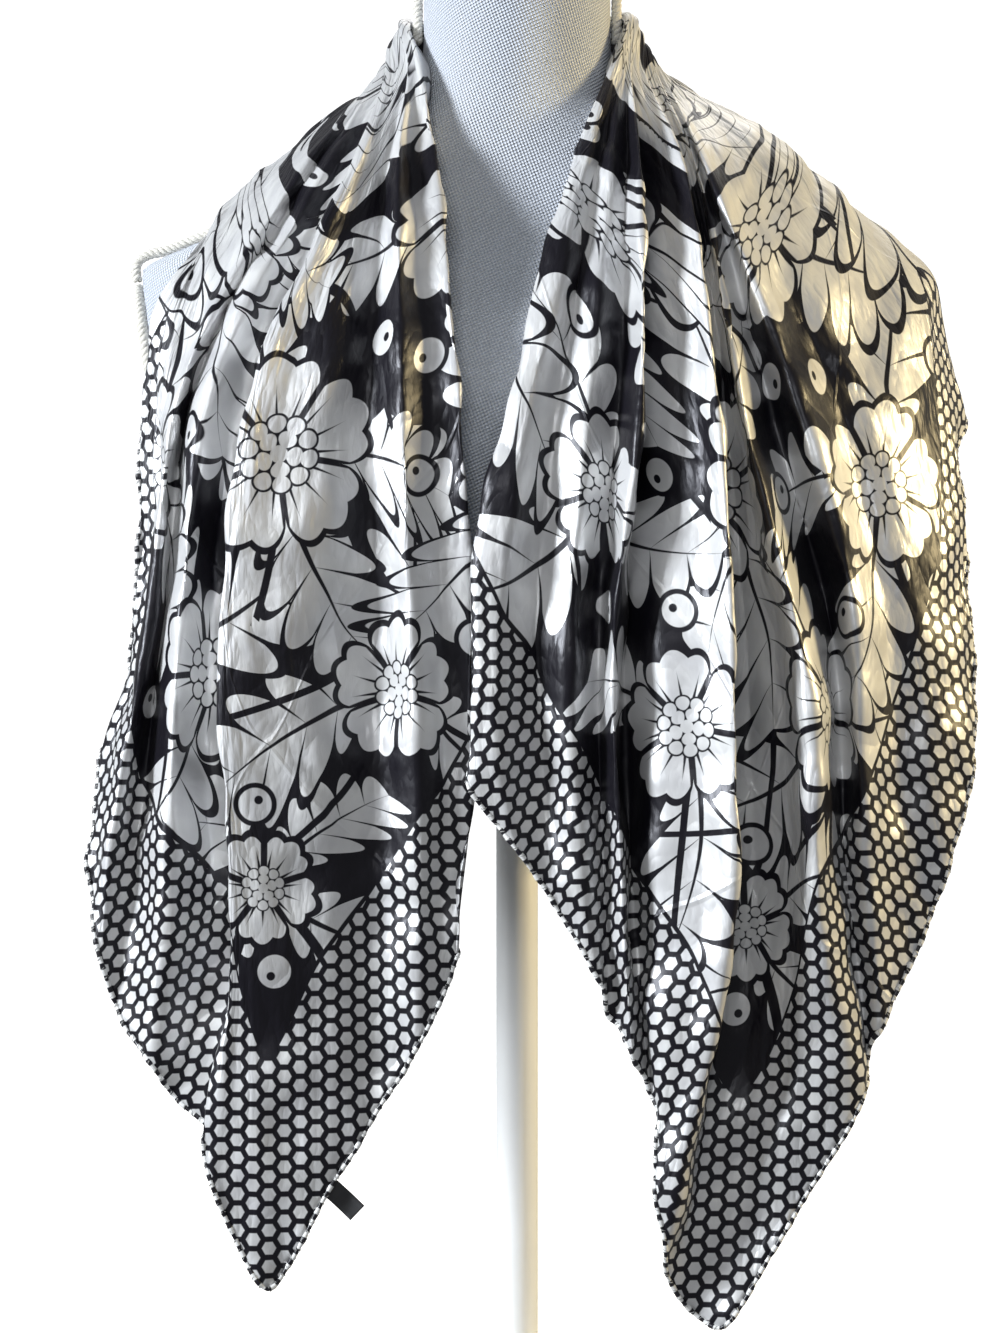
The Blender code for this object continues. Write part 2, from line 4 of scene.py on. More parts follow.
import bpy
import numpy as np
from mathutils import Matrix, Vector


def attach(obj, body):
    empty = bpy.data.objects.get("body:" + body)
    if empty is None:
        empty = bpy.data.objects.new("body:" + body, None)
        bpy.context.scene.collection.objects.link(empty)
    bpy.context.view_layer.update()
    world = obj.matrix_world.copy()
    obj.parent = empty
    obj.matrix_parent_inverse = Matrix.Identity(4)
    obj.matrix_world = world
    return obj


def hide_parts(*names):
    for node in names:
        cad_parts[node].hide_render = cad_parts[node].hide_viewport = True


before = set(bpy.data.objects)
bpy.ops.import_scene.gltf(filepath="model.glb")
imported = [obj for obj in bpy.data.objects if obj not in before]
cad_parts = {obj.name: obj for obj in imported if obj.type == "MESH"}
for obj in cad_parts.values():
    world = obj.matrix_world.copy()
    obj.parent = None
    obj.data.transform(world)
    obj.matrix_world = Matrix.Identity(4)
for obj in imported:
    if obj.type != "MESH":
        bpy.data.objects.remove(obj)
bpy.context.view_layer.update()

print("frame loaded:", len(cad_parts), "nodes")


# The chart: photo columns and rows, and a depth in millimetres.

chart = {
    "step": 0.000475,      # metres a pixel at the chart's own depth
    "depth": -0.100,
    "eye": -1.800,
    "x": -0.0086,
    "z": 0.413,
    "midColumn": 500,
    "midRow": 666.5,
    "rows": 1333,
}


def charted(column, row, depthMm):
    depth = depthMm / 1000
    scale = chart["step"] * (depth - chart["eye"]) / (chart["depth"] - chart["eye"])
    x = chart["x"] + (column - chart["midColumn"]) * scale
    z = chart["z"] - (row - chart["midRow"]) * scale
    return (x, depth, z)


def columnsAndRows(points):
    scale = chart["step"] * (points[..., 1] - chart["eye"]) / (chart["depth"] - chart["eye"])
    columns = chart["midColumn"] + (points[..., 0] - chart["x"]) / scale
    rows = chart["midRow"] - (points[..., 2] - chart["z"]) / scale
    return columns, rows


def table(kind, rows):
    return tuple(kind(*row) for row in rows)


class Wire:
    # a socket of a material, so that its maths reads as plain sums
    def __init__(self, tree, socket):
        self.tree = tree
        self.socket = socket

    def node(self, kind, settings, sockets, output=0):
        made = self.tree.nodes.new("ShaderNode" + kind)
        for name, setting in settings.items():
            setattr(made, name, setting)
        for key, value in sockets.items():
            if isinstance(value, Wire):
                self.tree.links.new(value.socket, made.inputs[key])
            else:
                made.inputs[key].default_value = value
        return Wire(self.tree, made.outputs[output])

    def maths(self, operation, *values, clamp=False):
        settings = {"operation": operation, "use_clamp": clamp}
        return self.node("Math", settings, dict(enumerate(values)))

    def vector(self, operation, other, output):
        return self.node("VectorMath", {"operation": operation}, {0: self, 1: other}, output)

    def __add__(self, other):
        return self.maths("ADD", self, other)

    def __radd__(self, other):
        return self.maths("ADD", other, self)

    def __sub__(self, other):
        return self.maths("SUBTRACT", self, other)

    def __rsub__(self, other):
        return self.maths("SUBTRACT", other, self)

    def __mul__(self, other):
        return self.maths("MULTIPLY", self, other)

    def __rmul__(self, other):
        return self.maths("MULTIPLY", other, self)

    def __truediv__(self, other):
        return self.maths("DIVIDE", self, other)

    def __rtruediv__(self, other):
        return self.maths("DIVIDE", other, self)

    def __pow__(self, other):
        return self.maths("POWER", self, other)

    def __abs__(self):
        return self.maths("ABSOLUTE", self)

    def scaled(self, factor, offset):
        return self.maths("MULTIPLY_ADD", self, factor, offset)

    def sine(self):
        return self.maths("SINE", self)

    def smaller(self, other):
        return self.maths("MINIMUM", self, other)

    def larger(self, other):
        return self.maths("MAXIMUM", self, other)

    def clamped(self):
        return self.maths("ADD", self, 0.0, clamp=True)

    def wrapped(self, half):
        return self.maths("WRAP", self, half, -half)

    def angleTo(self, other):
        return self.maths("ARCTAN2", self, other)

    def above(self, edge, soft):
        return self.maths("MULTIPLY_ADD", self, 1 / soft, 0.5 - edge / soft, clamp=True)

    def below(self, edge, soft):
        return self.maths("MULTIPLY_ADD", self, -1 / soft, edge / soft + 0.5, clamp=True)

    def dot(self, other):
        return self.vector("DOT_PRODUCT", other, 1)

    def mixed(self, low, high):
        return self.node("Mix", {"data_type": "RGBA"}, {0: self, 6: low, 7: high}, 2)

    def noise(self, scale, detail):
        return self.node("TexNoise", {}, {"Vector": self, "Scale": scale, "Detail": detail})


def newMaterial(name, settings):
    material = bpy.data.materials.new(name)
    material.use_nodes = True
    shader = material.node_tree.nodes["Principled BSDF"]
    for socket, value in settings.items():
        shader.inputs[socket].default_value = value
    return material, shader


def objectWire(material):
    tree = material.node_tree
    return Wire(tree, tree.nodes.new("ShaderNodeTexCoord").outputs["Object"])


def uvWire(material, layer):
    tree = material.node_tree
    source = tree.nodes.new("ShaderNodeUVMap")
    source.uv_map = layer
    return Wire(tree, source.outputs[0])


def placeWire(material, layer):
    # across and down metres, and a 1, so that one product turns, scales and shifts them
    return uvWire(material, layer).vector("ADD", (-0.5, 0.0, 1.0), 0)


def feedShader(shader, colour, roughness, height, distance):
    sockets = {"Strength": 1.0, "Distance": distance, "Height": height}
    bump = height.node("Bump", {}, sockets)
    for socket, wire in (("Base Color", colour), ("Roughness", roughness), ("Normal", bump)):
        wire.tree.links.new(wire.socket, shader.inputs[socket])


def unit(vectors):
    return vectors / np.linalg.norm(vectors, axis=-1, keepdims=True)


# The print: flowers, leaves and berries on black, inside a border of hexagons.
# Motifs lie at across and down metres from the middle of the scarf; angles are in degrees.

Leaf = namedtuple("Leaf", "across down angle size width curl lobes")
Flower = namedtuple("Flower", "across down angle size petals")
Berry = namedtuple("Berry", "across down angle size")

printLook = {
    "edge": 0.0004,          # softness of the print's edges, in metres
    "outline": 0.0024,
    "leafOutline": 0.0050,
    "flowerOutline": 0.0034,
    "hexPitch": 0.0085,
    "hexWhite": 0.345,       # half the white hexagon, as a share of the pitch
    "border": 0.076,
    "borderLine": 0.0024,
    "corner": 0.7071,        # from the scarf's middle to its corner
    "seed": 0.088,           # a seed in a flower's heart, as a share of the flower
    "reach": 1.12,           # how far a motif reaches from its middle, in shares of its size
    "leafReach": 0.68,
    "tileColumns": (-0.06, 0.03, 0.12),
    "tileRows": (0.13, 0.22, 0.31, 0.40),
}

# lengths and widths in these are shares of the motif's own size
leafLook = {
    "width": 0.40,
    "curl": 0.34,
    "lobes": 5,
    "lean": -0.62,           # how far the fingers lean forward
    "twist": 0.10,
    "fingerRoot": 0.34,      # where the gaps between fingers end, as a share of the width
    "fingerLength": 0.62,
    "fingerRound": 0.55,
    "veinWidth": 0.9,
    "rib": 0.020,
    "inset": -0.03,
}

flowerLook = {
    "petals": 5,
    "petalRoot": 0.56,
    "petalLength": 0.34,
    "petalRound": 0.35,
    "frill": 0.10,
    "parting": 0.65,
    "stroke": 0.68,
    "rings": ((0.305, 10), (0.155, 5)),   # rings of seeds: radius, count
    "heart": 0.31,
    "seedGap": 1.6,
}

berryLook = {"size": 0.0078, "dotPlace": 0.35, "dot": 0.26}

sprayLook = {
    "root": 0.40,            # where leaves start, in shares of the flower
    "berryPlace": 1.50,
    "turnSpread": 8,         # uneven turns in degrees, and uneven lengths
    "sizeSpread": 0.14,
}

# each spray is a flower with leaves and berries round it
Spray = namedtuple("Spray", "across down angle flower leaves reach")

leftSprays = table(Spray, (
    (0.002, 0.520, 52, 0.026, 4, 0.074),
    (-0.068, 0.428, 20, 0.034, 3, 0.092),
    (0.074, 0.420, 75, 0.042, 3, 0.094),
    (0.000, 0.318, 100, 0.047, 4, 0.088),
    (-0.135, 0.322, 60, 0.036, 3, 0.092),
    (0.155, 0.318, 10, 0.038, 3, 0.096),
    (-0.080, 0.205, 35, 0.045, 3, 0.094),
    (0.080, 0.200, 80, 0.042, 4, 0.086),
    (0.230, 0.210, 45, 0.038, 3, 0.092),
    (-0.005, 0.090, 15, 0.044, 4, 0.088),
    (-0.160, 0.090, 85, 0.042, 3, 0.090),
    (0.160, 0.090, 55, 0.042, 3, 0.092),
    (0.300, 0.090, 20, 0.042, 3, 0.092),
))

rightSprays = table(Spray, (
    (-0.002, 0.520, 50, 0.026, 4, 0.076),
    (-0.080, 0.425, 80, 0.036, 3, 0.092),
    (0.066, 0.418, 15, 0.040, 3, 0.096),
    (-0.014, 0.312, 55, 0.047, 4, 0.090),
    (-0.158, 0.315, 25, 0.036, 3, 0.096),
    (0.138, 0.310, 95, 0.040, 4, 0.088),
    (0.060, 0.200, 35, 0.043, 3, 0.094),
    (-0.095, 0.198, 5, 0.045, 4, 0.088),
    (0.218, 0.200, 65, 0.040, 3, 0.096),
    (-0.240, 0.205, 40, 0.038, 3, 0.090),
    (-0.012, 0.085, 75, 0.042, 4, 0.088),
    (0.145, 0.085, 20, 0.044, 4, 0.088),
    (0.300, 0.095, 50, 0.040, 3, 0.092),
    (-0.170, 0.085, 90, 0.042, 3, 0.090),
    (0.070, -0.030, 30, 0.042, 3, 0.092),
    (0.225, -0.025, 10, 0.042, 3, 0.092),
))

bandSprays = table(Spray, (
    (-0.060, 0.060, 20, 0.040, 3, 0.100),
    (0.070, 0.110, 70, 0.040, 3, 0.100),
))


def sprayMotifs(sprays):
    leaves, flowers, berries = [], [], []
    for index, spray in enumerate(sprays):
        for k in range(spray.leaves):
            angle = spray.angle + 360 * k / spray.leaves
            angle += sprayLook["turnSpread"] * math.sin(index * 5 + k * 3)
            size = spray.reach * (1 + sprayLook["sizeSpread"] * math.sin(index * 3 + k * 2.4))
            curl = leafLook["curl"] * (1, -1)[(k + index) % 2]
            root = stepFrom(spray, angle, sprayLook["root"] * spray.flower)
            leaves.append(Leaf(*root, angle, size, leafLook["width"], curl, leafLook["lobes"]))
            if (k + index) % 2 == 0:
                middle = sprayLook["berryPlace"] * spray.flower
                place = stepFrom(spray, angle + 180 / spray.leaves, middle)
                berries.append(Berry(*place, angle, berryLook["size"]))
        flowers.append(Flower(*spray[:4], flowerLook["petals"]))
    return (*leaves, *flowers, *berries)


def stepFrom(spray, degrees, length):
    turn = math.radians(degrees)
    return spray.across + length * math.cos(turn), spray.down + length * math.sin(turn)


def hexDistance(x, y, pitch):
    # how far out a point lies in its hexagon, from 0 to half the pitch; flat sides up and down
    width = pitch * math.sqrt(3)
    nearest = None
    for shift in (0, 0.5):
        across = abs((x - shift * width).wrapped(width / 2))
        down = abs((y - shift * pitch).wrapped(pitch / 2))
        slanted = across * math.cos(math.pi / 6) + down * 0.5
        reach = down.larger(slanted)
        nearest = reach if nearest is None else nearest.smaller(reach)
    return nearest


def inked(ink, outside, white):
    return ink.smaller(outside).larger(white)


def fromMiddle(along, aside):
    return (along * along + aside * aside) ** 0.5


# In these, along and aside run from the motif's own middle or root, in shares of its size.

def leafInk(ink, along, aside, leaf):
    # rounded fingers that lean forward on either side of a rib
    soft = printLook["edge"] / leaf.size
    bent = (along * along).scaled(leaf.curl, aside)
    reach = abs(bent)
    lean = reach.scaled(leafLook["lean"], along) + bent * leafLook["twist"]
    lobe = abs((lean * leaf.lobes * math.pi).sine())
    body = (lean * (4 - 4 * lean)).clamped() ** 0.5
    fingers = (lobe ** leafLook["fingerRound"]).scaled(leafLook["fingerLength"], leafLook["fingerRoot"])
    gap = reach - body * fingers * leaf.width
    outside = gap.above(printLook["leafOutline"] / leaf.size + leafLook["inset"], soft)
    white = gap.below(leafLook["inset"], soft)
    vein = (lobe - reach * leafLook["veinWidth"]).above(0.0, soft * leaf.lobes * math.pi)
    rib = (reach + along * leafLook["rib"]).above(leafLook["rib"], soft)
    return inked(ink, outside, white.smaller(vein).smaller(rib))


def seedRing(radius, angle, ringRadius, count):
    # squared distance to the nearest seed of a ring of them
    aside = angle.wrapped(math.pi / count) * ringRadius
    outward = radius - ringRadius
    return aside * aside + outward * outward


def flowerInk(ink, along, aside, flower):
    soft = printLook["edge"] / flower.size
    outline = printLook["outline"] / flower.size
    radius = fromMiddle(along, aside)
    angle = aside.angleTo(along)
    turns = angle * flower.petals / 2
    petal = abs(turns.sine())
    frill = abs((turns * 3).sine()) * flowerLook["frill"]
    lobe = (petal ** flowerLook["petalRound"]).scaled(flowerLook["petalLength"], flowerLook["petalRoot"])
    gap = radius - (frill + lobe)
    parting = (petal * radius * 2 / flower.petals).above(outline * flowerLook["parting"], soft)
    stroke = abs((turns * 3 + math.pi / 2).sine()) * radius / (flower.petals * 1.5)
    stroke = (stroke + radius * outline).above(outline * flowerLook["stroke"], soft)
    seeds = radius * radius
    for ring in flowerLook["rings"]:
        seeds = seeds.smaller(seedRing(radius, angle, *ring))
    seed = printLook["seed"]
    heart = seeds.above(seed * seed * flowerLook["seedGap"], soft * seed * 2)
    heart = heart.smaller(radius.above(flowerLook["heart"], soft))
    seeds = seeds.below(seed * seed, soft * seed * 2)
    petals = gap.below(0.0, soft).smaller(parting).smaller(stroke).smaller(heart)
    outside = gap.above(printLook["flowerOutline"] / flower.size, soft)
    return inked(ink, outside, petals.larger(seeds))


def berryInk(ink, along, aside, berry):
    soft = printLook["edge"] / berry.size
    radius = fromMiddle(along, aside)
    dot = fromMiddle(along - berryLook["dotPlace"], aside).above(berryLook["dot"], soft)
    outside = radius.above(printLook["outline"] / berry.size + 1, soft)
    return inked(ink, outside, radius.below(1.0, soft).smaller(dot))


motifInks = {Leaf: leafInk, Flower: flowerInk, Berry: berryInk}
motifGroups = {}


def motifGroup(kind):
    # one node group for each kind of motif; its own measures come in through sockets
    if kind not in motifGroups:
        tree = bpy.data.node_groups.new("motif_" + kind.__name__.lower(), "ShaderNodeTree")
        vectors = ("point", "alongAxis", "asideAxis")
        for field in vectors + ("ink",) + kind._fields[3:]:
            socketType = "NodeSocketVector" if field in vectors else "NodeSocketFloat"
            tree.interface.new_socket(name=field, in_out="INPUT", socket_type=socketType)
        tree.interface.new_socket(name="ink", in_out="OUTPUT", socket_type="NodeSocketFloat")
        enter = tree.nodes.new("NodeGroupInput")
        leave = tree.nodes.new("NodeGroupOutput")
        wires = {socket.name: Wire(tree, socket) for socket in enter.outputs}
        measures = kind(0, 0, 0, *(wires[field] for field in kind._fields[3:]))
        along = wires["point"].dot(wires["alongAxis"])
        aside = wires["point"].dot(wires["asideAxis"])
        made = motifInks[kind](wires["ink"], along, aside, measures)
        tree.links.new(made.socket, leave.inputs["ink"])
        motifGroups[kind] = tree
    return motifGroups[kind]


def motifAxes(motif):
    # what a point is multiplied by to lie along and across the motif's own axis
    turn = math.radians(motif.angle)
    c, s = math.cos(turn) / motif.size, math.sin(turn) / motif.size
    along = (c, s, -(motif.across * c + motif.down * s))
    aside = (-s, c, motif.across * s - motif.down * c)
    return along, aside


def motifsInk(point, motifs):
    ink = point.dot((0.0, 0.0, 0.0))
    for motif in motifs:
        along, aside = motifAxes(motif)
        sockets = {"point": point, "alongAxis": along, "asideAxis": aside, "ink": ink}
        sockets.update(zip(motif._fields[3:], motif[3:]))
        ink = point.node("Group", {"node_tree": motifGroup(type(motif))}, sockets)
    return ink


def motifReaches(motif, across, down):
    # whether a motif reaches any of these places
    middle, reach = (motif.across, motif.down), printLook["reach"] * motif.size
    if isinstance(motif, Leaf):
        turn = math.radians(motif.angle)
        along, aside = 0.5 * motif.size, -0.3 * motif.curl * motif.size
        x = motif.across + along * math.cos(turn) - aside * math.sin(turn)
        y = motif.down + along * math.sin(turn) + aside * math.cos(turn)
        middle, reach = (x, y), printLook["leafReach"] * motif.size
    return (np.hypot(across - middle[0], down - middle[1]) < reach).any()


# The folds, as charted for the solids.
# q is how far a fold line lies across the cloth from the corner's diagonal, in metres;
# lift is 1 on a crest and -1 in a valley; stations are column, row and depth in mm
Fold = namedtuple("Fold", "name q lift shoulder chest waist low hem")

leftFolds = table(Fold, (
    ("inner_return", -0.170, -1,
     (418, 166, -57), (430, 394, -109), (446, 610, -109), (444, 790, -109), (438, 936, -112)),
    ("inner_edge", -0.135, 0.3,
     (436, 160, -68), (459, 390, -123), (470, 600, -122), (472, 795, -122), (457, 953, -125)),
    ("band_valley", -0.115, -0.3,
     (411, 160, -64), (430, 390, -120), (440, 610, -121), (446, 820, -122), (436, 1010, -128)),
    ("inner_crest", -0.095, 1,
     (399, 161, -75), (402, 390, -130), (410, 620, -133), (420, 850, -132), (416, 1048, -130)),
    ("soft_valley", -0.070, -1,
     (388, 162, -65), (370, 390, -113), (374, 630, -117), (378, 880, -120), (376, 1112, -124)),
    ("broad_rise", -0.040, 0,
     (378, 162, -69), (328, 385, -123), (322, 640, -132), (322, 920, -132), (330, 1187, -129)),
    ("tip_line", 0.000, 0,
     (367, 163, -71), (290, 380, -125), (268, 650, -138), (268, 960, -137), (269, 1288, -130)),
    ("crest_face", 0.030, 1,
     (358, 164, -75), (264, 372, -128), (232, 655, -141), (242, 950, -139), (228, 1222, -131)),
    ("sharp_crest", 0.050, 1,
     (350, 166, -72), (254, 372, -126), (219, 655, -139), (229, 950, -137), (199, 1142, -131)),
    ("tuck_under", 0.065, -1,
     (354, 174, -57), (266, 380, -93), (236, 655, -102), (243, 950, -106), (209, 1126, -114)),
    ("recess_face", 0.085, -1,
     (337, 178, -54), (244, 380, -88), (210, 655, -97), (208, 940, -103), (179, 1100, -109)),
    ("soft_ridge", 0.120, 1,
     (318, 182, -60), (214, 378, -103), (178, 650, -118), (164, 900, -121), (150, 1061, -115)),
    ("outer_valley", 0.150, -1,
     (304, 186, -50), (198, 378, -80), (162, 640, -90), (136, 860, -98), (121, 1014, -103)),
    ("outer_ridge", 0.190, 1,
     (290, 188, -56), (184, 378, -94), (150, 620, -104), (116, 810, -108), (98, 950, -107)),
    ("side_fall", 0.230, 0,
     (276, 192, -46), (174, 372, -80), (152, 560, -88), (124, 735, -92), (88, 868, -95)),
    ("side_hem", 0.260, 0,
     (262, 196, -39), (172, 345, -74), (160, 520, -78), (142, 660, -81), (101, 771, -80)),
    ("side_upper", 0.290, 0,
     (248, 200, -30), (186, 290, -64), (153, 440, -70), (146, 560, -71), (132, 672, -66)),
    ("side_middle", 0.310, 0,
     (238, 203, -23), (188, 270, -60), (153, 375, -64), (145, 460, -67), (137, 545, -66)),
    ("side_edge", 0.330, 1,
     (228, 206, -12), (186, 258, -52), (152, 315, -56), (143, 370, -58), (141, 415, -60)),
    ("side_return", 0.350, -1,
     (236, 216, -3), (197, 261, -45), (166, 318, -49), (156, 366, -50), (154, 404, -52)),
))

rightFolds = table(Fold, (
    ("inner_return", -0.245, 0,
     (592, 162, -54), (524, 398, -108), (494, 590, -113), (490, 690, -114), (488, 748, -116)),
    ("inner_edge", -0.215, 0,
     (573, 158, -67), (506, 400, -122), (472, 575, -131), (470, 690, -132), (467, 782, -131)),
    ("inner_face", -0.180, 0,
     (586, 160, -72), (530, 405, -127), (500, 600, -135), (497, 730, -135), (508, 838, -132)),
    ("strip_valley", -0.150, 0,
     (599, 161, -65), (558, 408, -115), (536, 610, -119), (542, 770, -121), (550, 897, -125)),
    ("middle_face", -0.120, 0,
     (612, 162, -71), (588, 410, -125), (572, 612, -131), (574, 800, -131), (589, 962, -130)),
    ("valley_a", -0.095, 0,
     (627, 165, -64), (620, 412, -113), (600, 622, -116), (603, 850, -119), (613, 1020, -124)),
    ("ridge_a", -0.080, 1,
     (640, 165, -82), (641, 412, -135), (614, 640, -139), (622, 880, -135), (632, 1054, -131)),
    ("tuck_a", -0.068, -1,
     (641, 174, -62), (638, 418, -110), (624, 650, -112), (632, 900, -116), (648, 1088, -122)),
    ("panel_rise", -0.055, 0,
     (656, 174, -67), (668, 420, -122), (655, 664, -128), (652, 920, -129), (655, 1130, -128)),
    ("panel_face", -0.042, 0,
     (672, 175, -73), (698, 420, -129), (706, 672, -138), (700, 940, -137), (657, 1192, -130)),
    ("ridge_b", -0.028, 1,
     (687, 175, -82), (719, 420, -139), (735, 684, -148), (731, 940, -144), (666, 1246, -132)),
    ("tuck_b", -0.015, -1,
     (688, 182, -70), (714, 426, -103), (729, 694, -105), (726, 950, -110), (674, 1290, -119)),
    ("recess_in", 0.000, -1,
     (692, 186, -65), (728, 430, -99), (750, 704, -102), (748, 970, -108), (721, 1327, -120)),
    ("recess_out", 0.060, 0,
     (699, 186, -66), (740, 430, -108), (782, 700, -115), (786, 960, -118), (772, 1252, -122)),
    ("ridge_c", 0.140, 1,
     (702, 184, -73), (747, 424, -127), (811, 690, -139), (824, 930, -133), (862, 1100, -121)),
    ("valley_cd", 0.165, -1,
     (709, 184, -65), (773, 420, -98), (832, 640, -100), (846, 880, -106), (866, 1062, -109)),
    ("ridge_d", 0.190, 1,
     (712, 180, -77), (800, 405, -115), (850, 590, -121), (862, 800, -119), (880, 1028, -113)),
    ("after_d", 0.220, -1,
     (724, 176, -60), (828, 398, -91), (878, 590, -98), (900, 790, -101), (923, 936, -102)),
    ("fan_inner", 0.255, 0,
     (738, 170, -46), (858, 386, -85), (908, 570, -95), (930, 740, -98), (950, 861, -97)),
    ("fan_middle", 0.280, 0,
     (752, 162, -35), (882, 366, -71), (934, 540, -83), (954, 680, -86), (966, 787, -86)),
    ("fan_outer", 0.305, 0,
     (766, 149, -22), (903, 340, -55), (946, 490, -67), (962, 600, -70), (973, 695, -72)),
    ("fan_side", 0.330, 0,
     (779, 145, -8), (918, 308, -37), (946, 420, -48), (960, 500, -52), (969, 573, -54)),
    ("fan_edge", 0.350, 0,
     (787, 147, 8), (924, 284, -16), (940, 350, -28), (950, 410, -32), (957, 465, -34)),
    ("back_turn", 0.380, 1,
     (782, 164, 26), (922, 264, 8), (940, 318, 4), (950, 362, 4), (959, 400, 6)),
    ("back_fall", 0.420, 0,
     (764, 196, 48), (898, 268, 38), (918, 306, 38), (928, 338, 40), (936, 366, 42)),
    ("back_hem", 0.450, 0,
     (745, 230, 66), (860, 276, 60), (884, 306, 63), (894, 334, 66), (902, 358, 68)),
))

BandPoint = namedtuple("BandPoint", "radius rightHeight leftHeight")

bandSection = table(BandPoint, (
    (0.0539, 0.7365, 0.7325),
    (0.0553, 0.7408, 0.7368),
    (0.0584, 0.7412, 0.7374),
    (0.0622, 0.7350, 0.7310),
    (0.0667, 0.7272, 0.7200),
    (0.0722, 0.7205, 0.7090),
    (0.0820, 0.7125, 0.6975),
))

cloth = {
    "wall": 0.0007,
    "rows": 150,                  # points down a fold line
    "steps": 9,                   # columns from one fold line to the next
    "lead": 0.40,
    "bandRise": 0.0080,
    "bandStart": math.radians(35),
    "bandGap": 0.0098,
    "bandPleats": 8,
    "bandPleatDepth": 0.0008,
    "bandColumns": 160,
    "bandRows": 72,
    "bandPrint": (0.26, 0.062),   # the print's reach across the band, and along a radian of it
    "archSteps": 60,
    "throatInner": (0.0462, -0.0300, 0.7150),
    "throatOuter": {-1: (0.0930, 0.0100, 0.6915), 1: (0.0895, 0.0330, 0.7075)},
    "throatCrowding": 0.10,
    "throatTurn": math.radians(24),
    "throatPleat": 0.0013,
    "throatOutward": (0.35, -0.62, 0.70),
    "throatHook": (-0.0018, 0.0073, -0.0055),
    "hookFade": 18,
    "creased": (0.06, 0.12),      # creases, waves and straight hanging set in over these drops
    "waved": (0.10, 0.22),
    "hangs": (0.16, 0.32),
    "gathers": (0.02, 0.07),      # small pleats set in and die out over these drops
    "gathersEnd": (0.12, 0.27),
    "edgeColumns": 6,             # columns beside an edge where the creases are weaker
    "edgeShare": 0.3,
    "held": (0.02, 0.15, 0.04),   # the print is held and squeezed from here, to here, this softly
    "gathered": 0.55,             # its scale at the neck, where the gathers swallow the rest
    # where the side edge turns under, from and to, and how far its border lies down
    "turned": {-1: (0.285, 0.335, 0.085), 1: (0.310, 0.380, 0.075)},
}


def smoothRun(points, count, lead=None):
    # a centripetal Catmull-Rom curve, at even steps or at steps that start as on a curve lead long
    knots = np.asarray(points, float)
    ends = np.vstack([2 * knots[0] - knots[1], knots, 2 * knots[-1] - knots[-2]])
    steps = np.sqrt(np.linalg.norm(np.diff(ends, axis=0), axis=1)).clip(1e-5)
    at = np.concatenate([[0], np.cumsum(steps)])
    fine = []
    for k in range(1, len(ends) - 2):
        t = np.linspace(at[k], at[k + 1], 24, endpoint=k == len(ends) - 3)[:, None]
        a = [
            ((at[j + 1] - t) * ends[j] + (t - at[j]) * ends[j + 1]) / (at[j + 1] - at[j])
            for j in (k - 1, k, k + 1)
        ]
        b = [
            ((at[j + 2] - t) * a[i] + (t - at[j]) * a[i + 1]) / (at[j + 2] - at[j])
            for i, j in enumerate((k - 1, k))
        ]
        fine.append(((at[k + 1] - t) * b[0] + (t - at[k]) * b[1]) / (at[k + 1] - at[k]))
    fine = np.vstack(fine)
    length = lengthAlong(fine)
    shares = np.linspace(0, 1, count)
    lead = length[-1] if lead is None else lead
    wanted = shares * lead + (length[-1] - lead) * shares**2
    return np.stack([np.interp(wanted, length, fine[:, c]) for c in range(3)], axis=1)


def lengthAlong(points):
    steps = np.linalg.norm(np.diff(points, axis=0), axis=1)
    return np.concatenate([[0], np.cumsum(steps)])


def betweenLines(lines, steps):
    # smooth columns between neighbouring fold lines, that never swing past the lines
    count = len(lines)
    columns = []
    for i in range(count - 1):
        here, there = lines[i], lines[i + 1]
        ways = (here - lines[max(i - 1, 0)], there - here, lines[min(i + 2, count - 1)] - there)
        lead, span, trail = (np.linalg.norm(way, axis=1, keepdims=True).clip(1e-6) for way in ways)
        slopeHere = slopeThere = ways[1]
        if i > 0:
            slopeHere = (ways[0] / lead + ways[1] / span) * np.minimum(lead, span) / 2
        if i < count - 2:
            slopeThere = (ways[1] / span + ways[2] / trail) * np.minimum(trail, span) / 2
        for t in np.arange(steps) / steps:
            columns.append(
                (2 * t**3 - 3 * t**2 + 1) * here
                + (t**3 - 2 * t**2 + t) * slopeHere
                + (3 * t**2 - 2 * t**3) * there
                + (t**3 - t**2) * slopeThere
            )
    columns.append(lines[-1])
    return np.asarray(columns)


sectionsMade = {}


def sectionRun(across):
    # the arch of the gathered band, as radius and height, from 0 on the right to 1 on the left
    key = round(across, 5)
    if key not in sectionsMade:
        points = [
            (point.radius, 0, point.rightHeight * (1 - across) + point.leftHeight * across)
            for point in bandSection
        ]
        sectionsMade[key] = smoothRun(points, cloth["archSteps"] + 1)[:, [0, 2]]
    return sectionsMade[key]


def bandPoint(share, turn, side, ripple):
    across = turn / math.pi
    section = sectionRun(across if side > 0 else 1 - across)
    at = share * cloth["archSteps"]
    low = min(int(at), cloth["archSteps"] - 1)
    slope = section[low + 1] - section[low]
    radius, height = section[low] + slope * (at - low)
    slope = unit(slope)
    radius -= slope[1] * ripple
    height += slope[0] * ripple + cloth["bandRise"] * max(0.0, math.sin(turn))
    return (side * radius * math.cos(turn), radius * math.sin(turn), height)


def throatPoint(share, side, lift):
    inner = np.array(cloth["throatInner"])
    outer = np.array(cloth["throatOuter"][side])
    point = inner + (outer - inner) * share * (1 - cloth["throatCrowding"] * (1 - share))
    point = point + np.array(cloth["throatHook"]) * max(0.0, 1 - share * cloth["hookFade"])
    along = unit(outer - inner)
    outward = np.array(cloth["throatOutward"])
    outward -= along * outward.dot(along)
    point = point + unit(outward) * cloth["throatPleat"] * lift
    return (side * point[0], point[1], point[2])


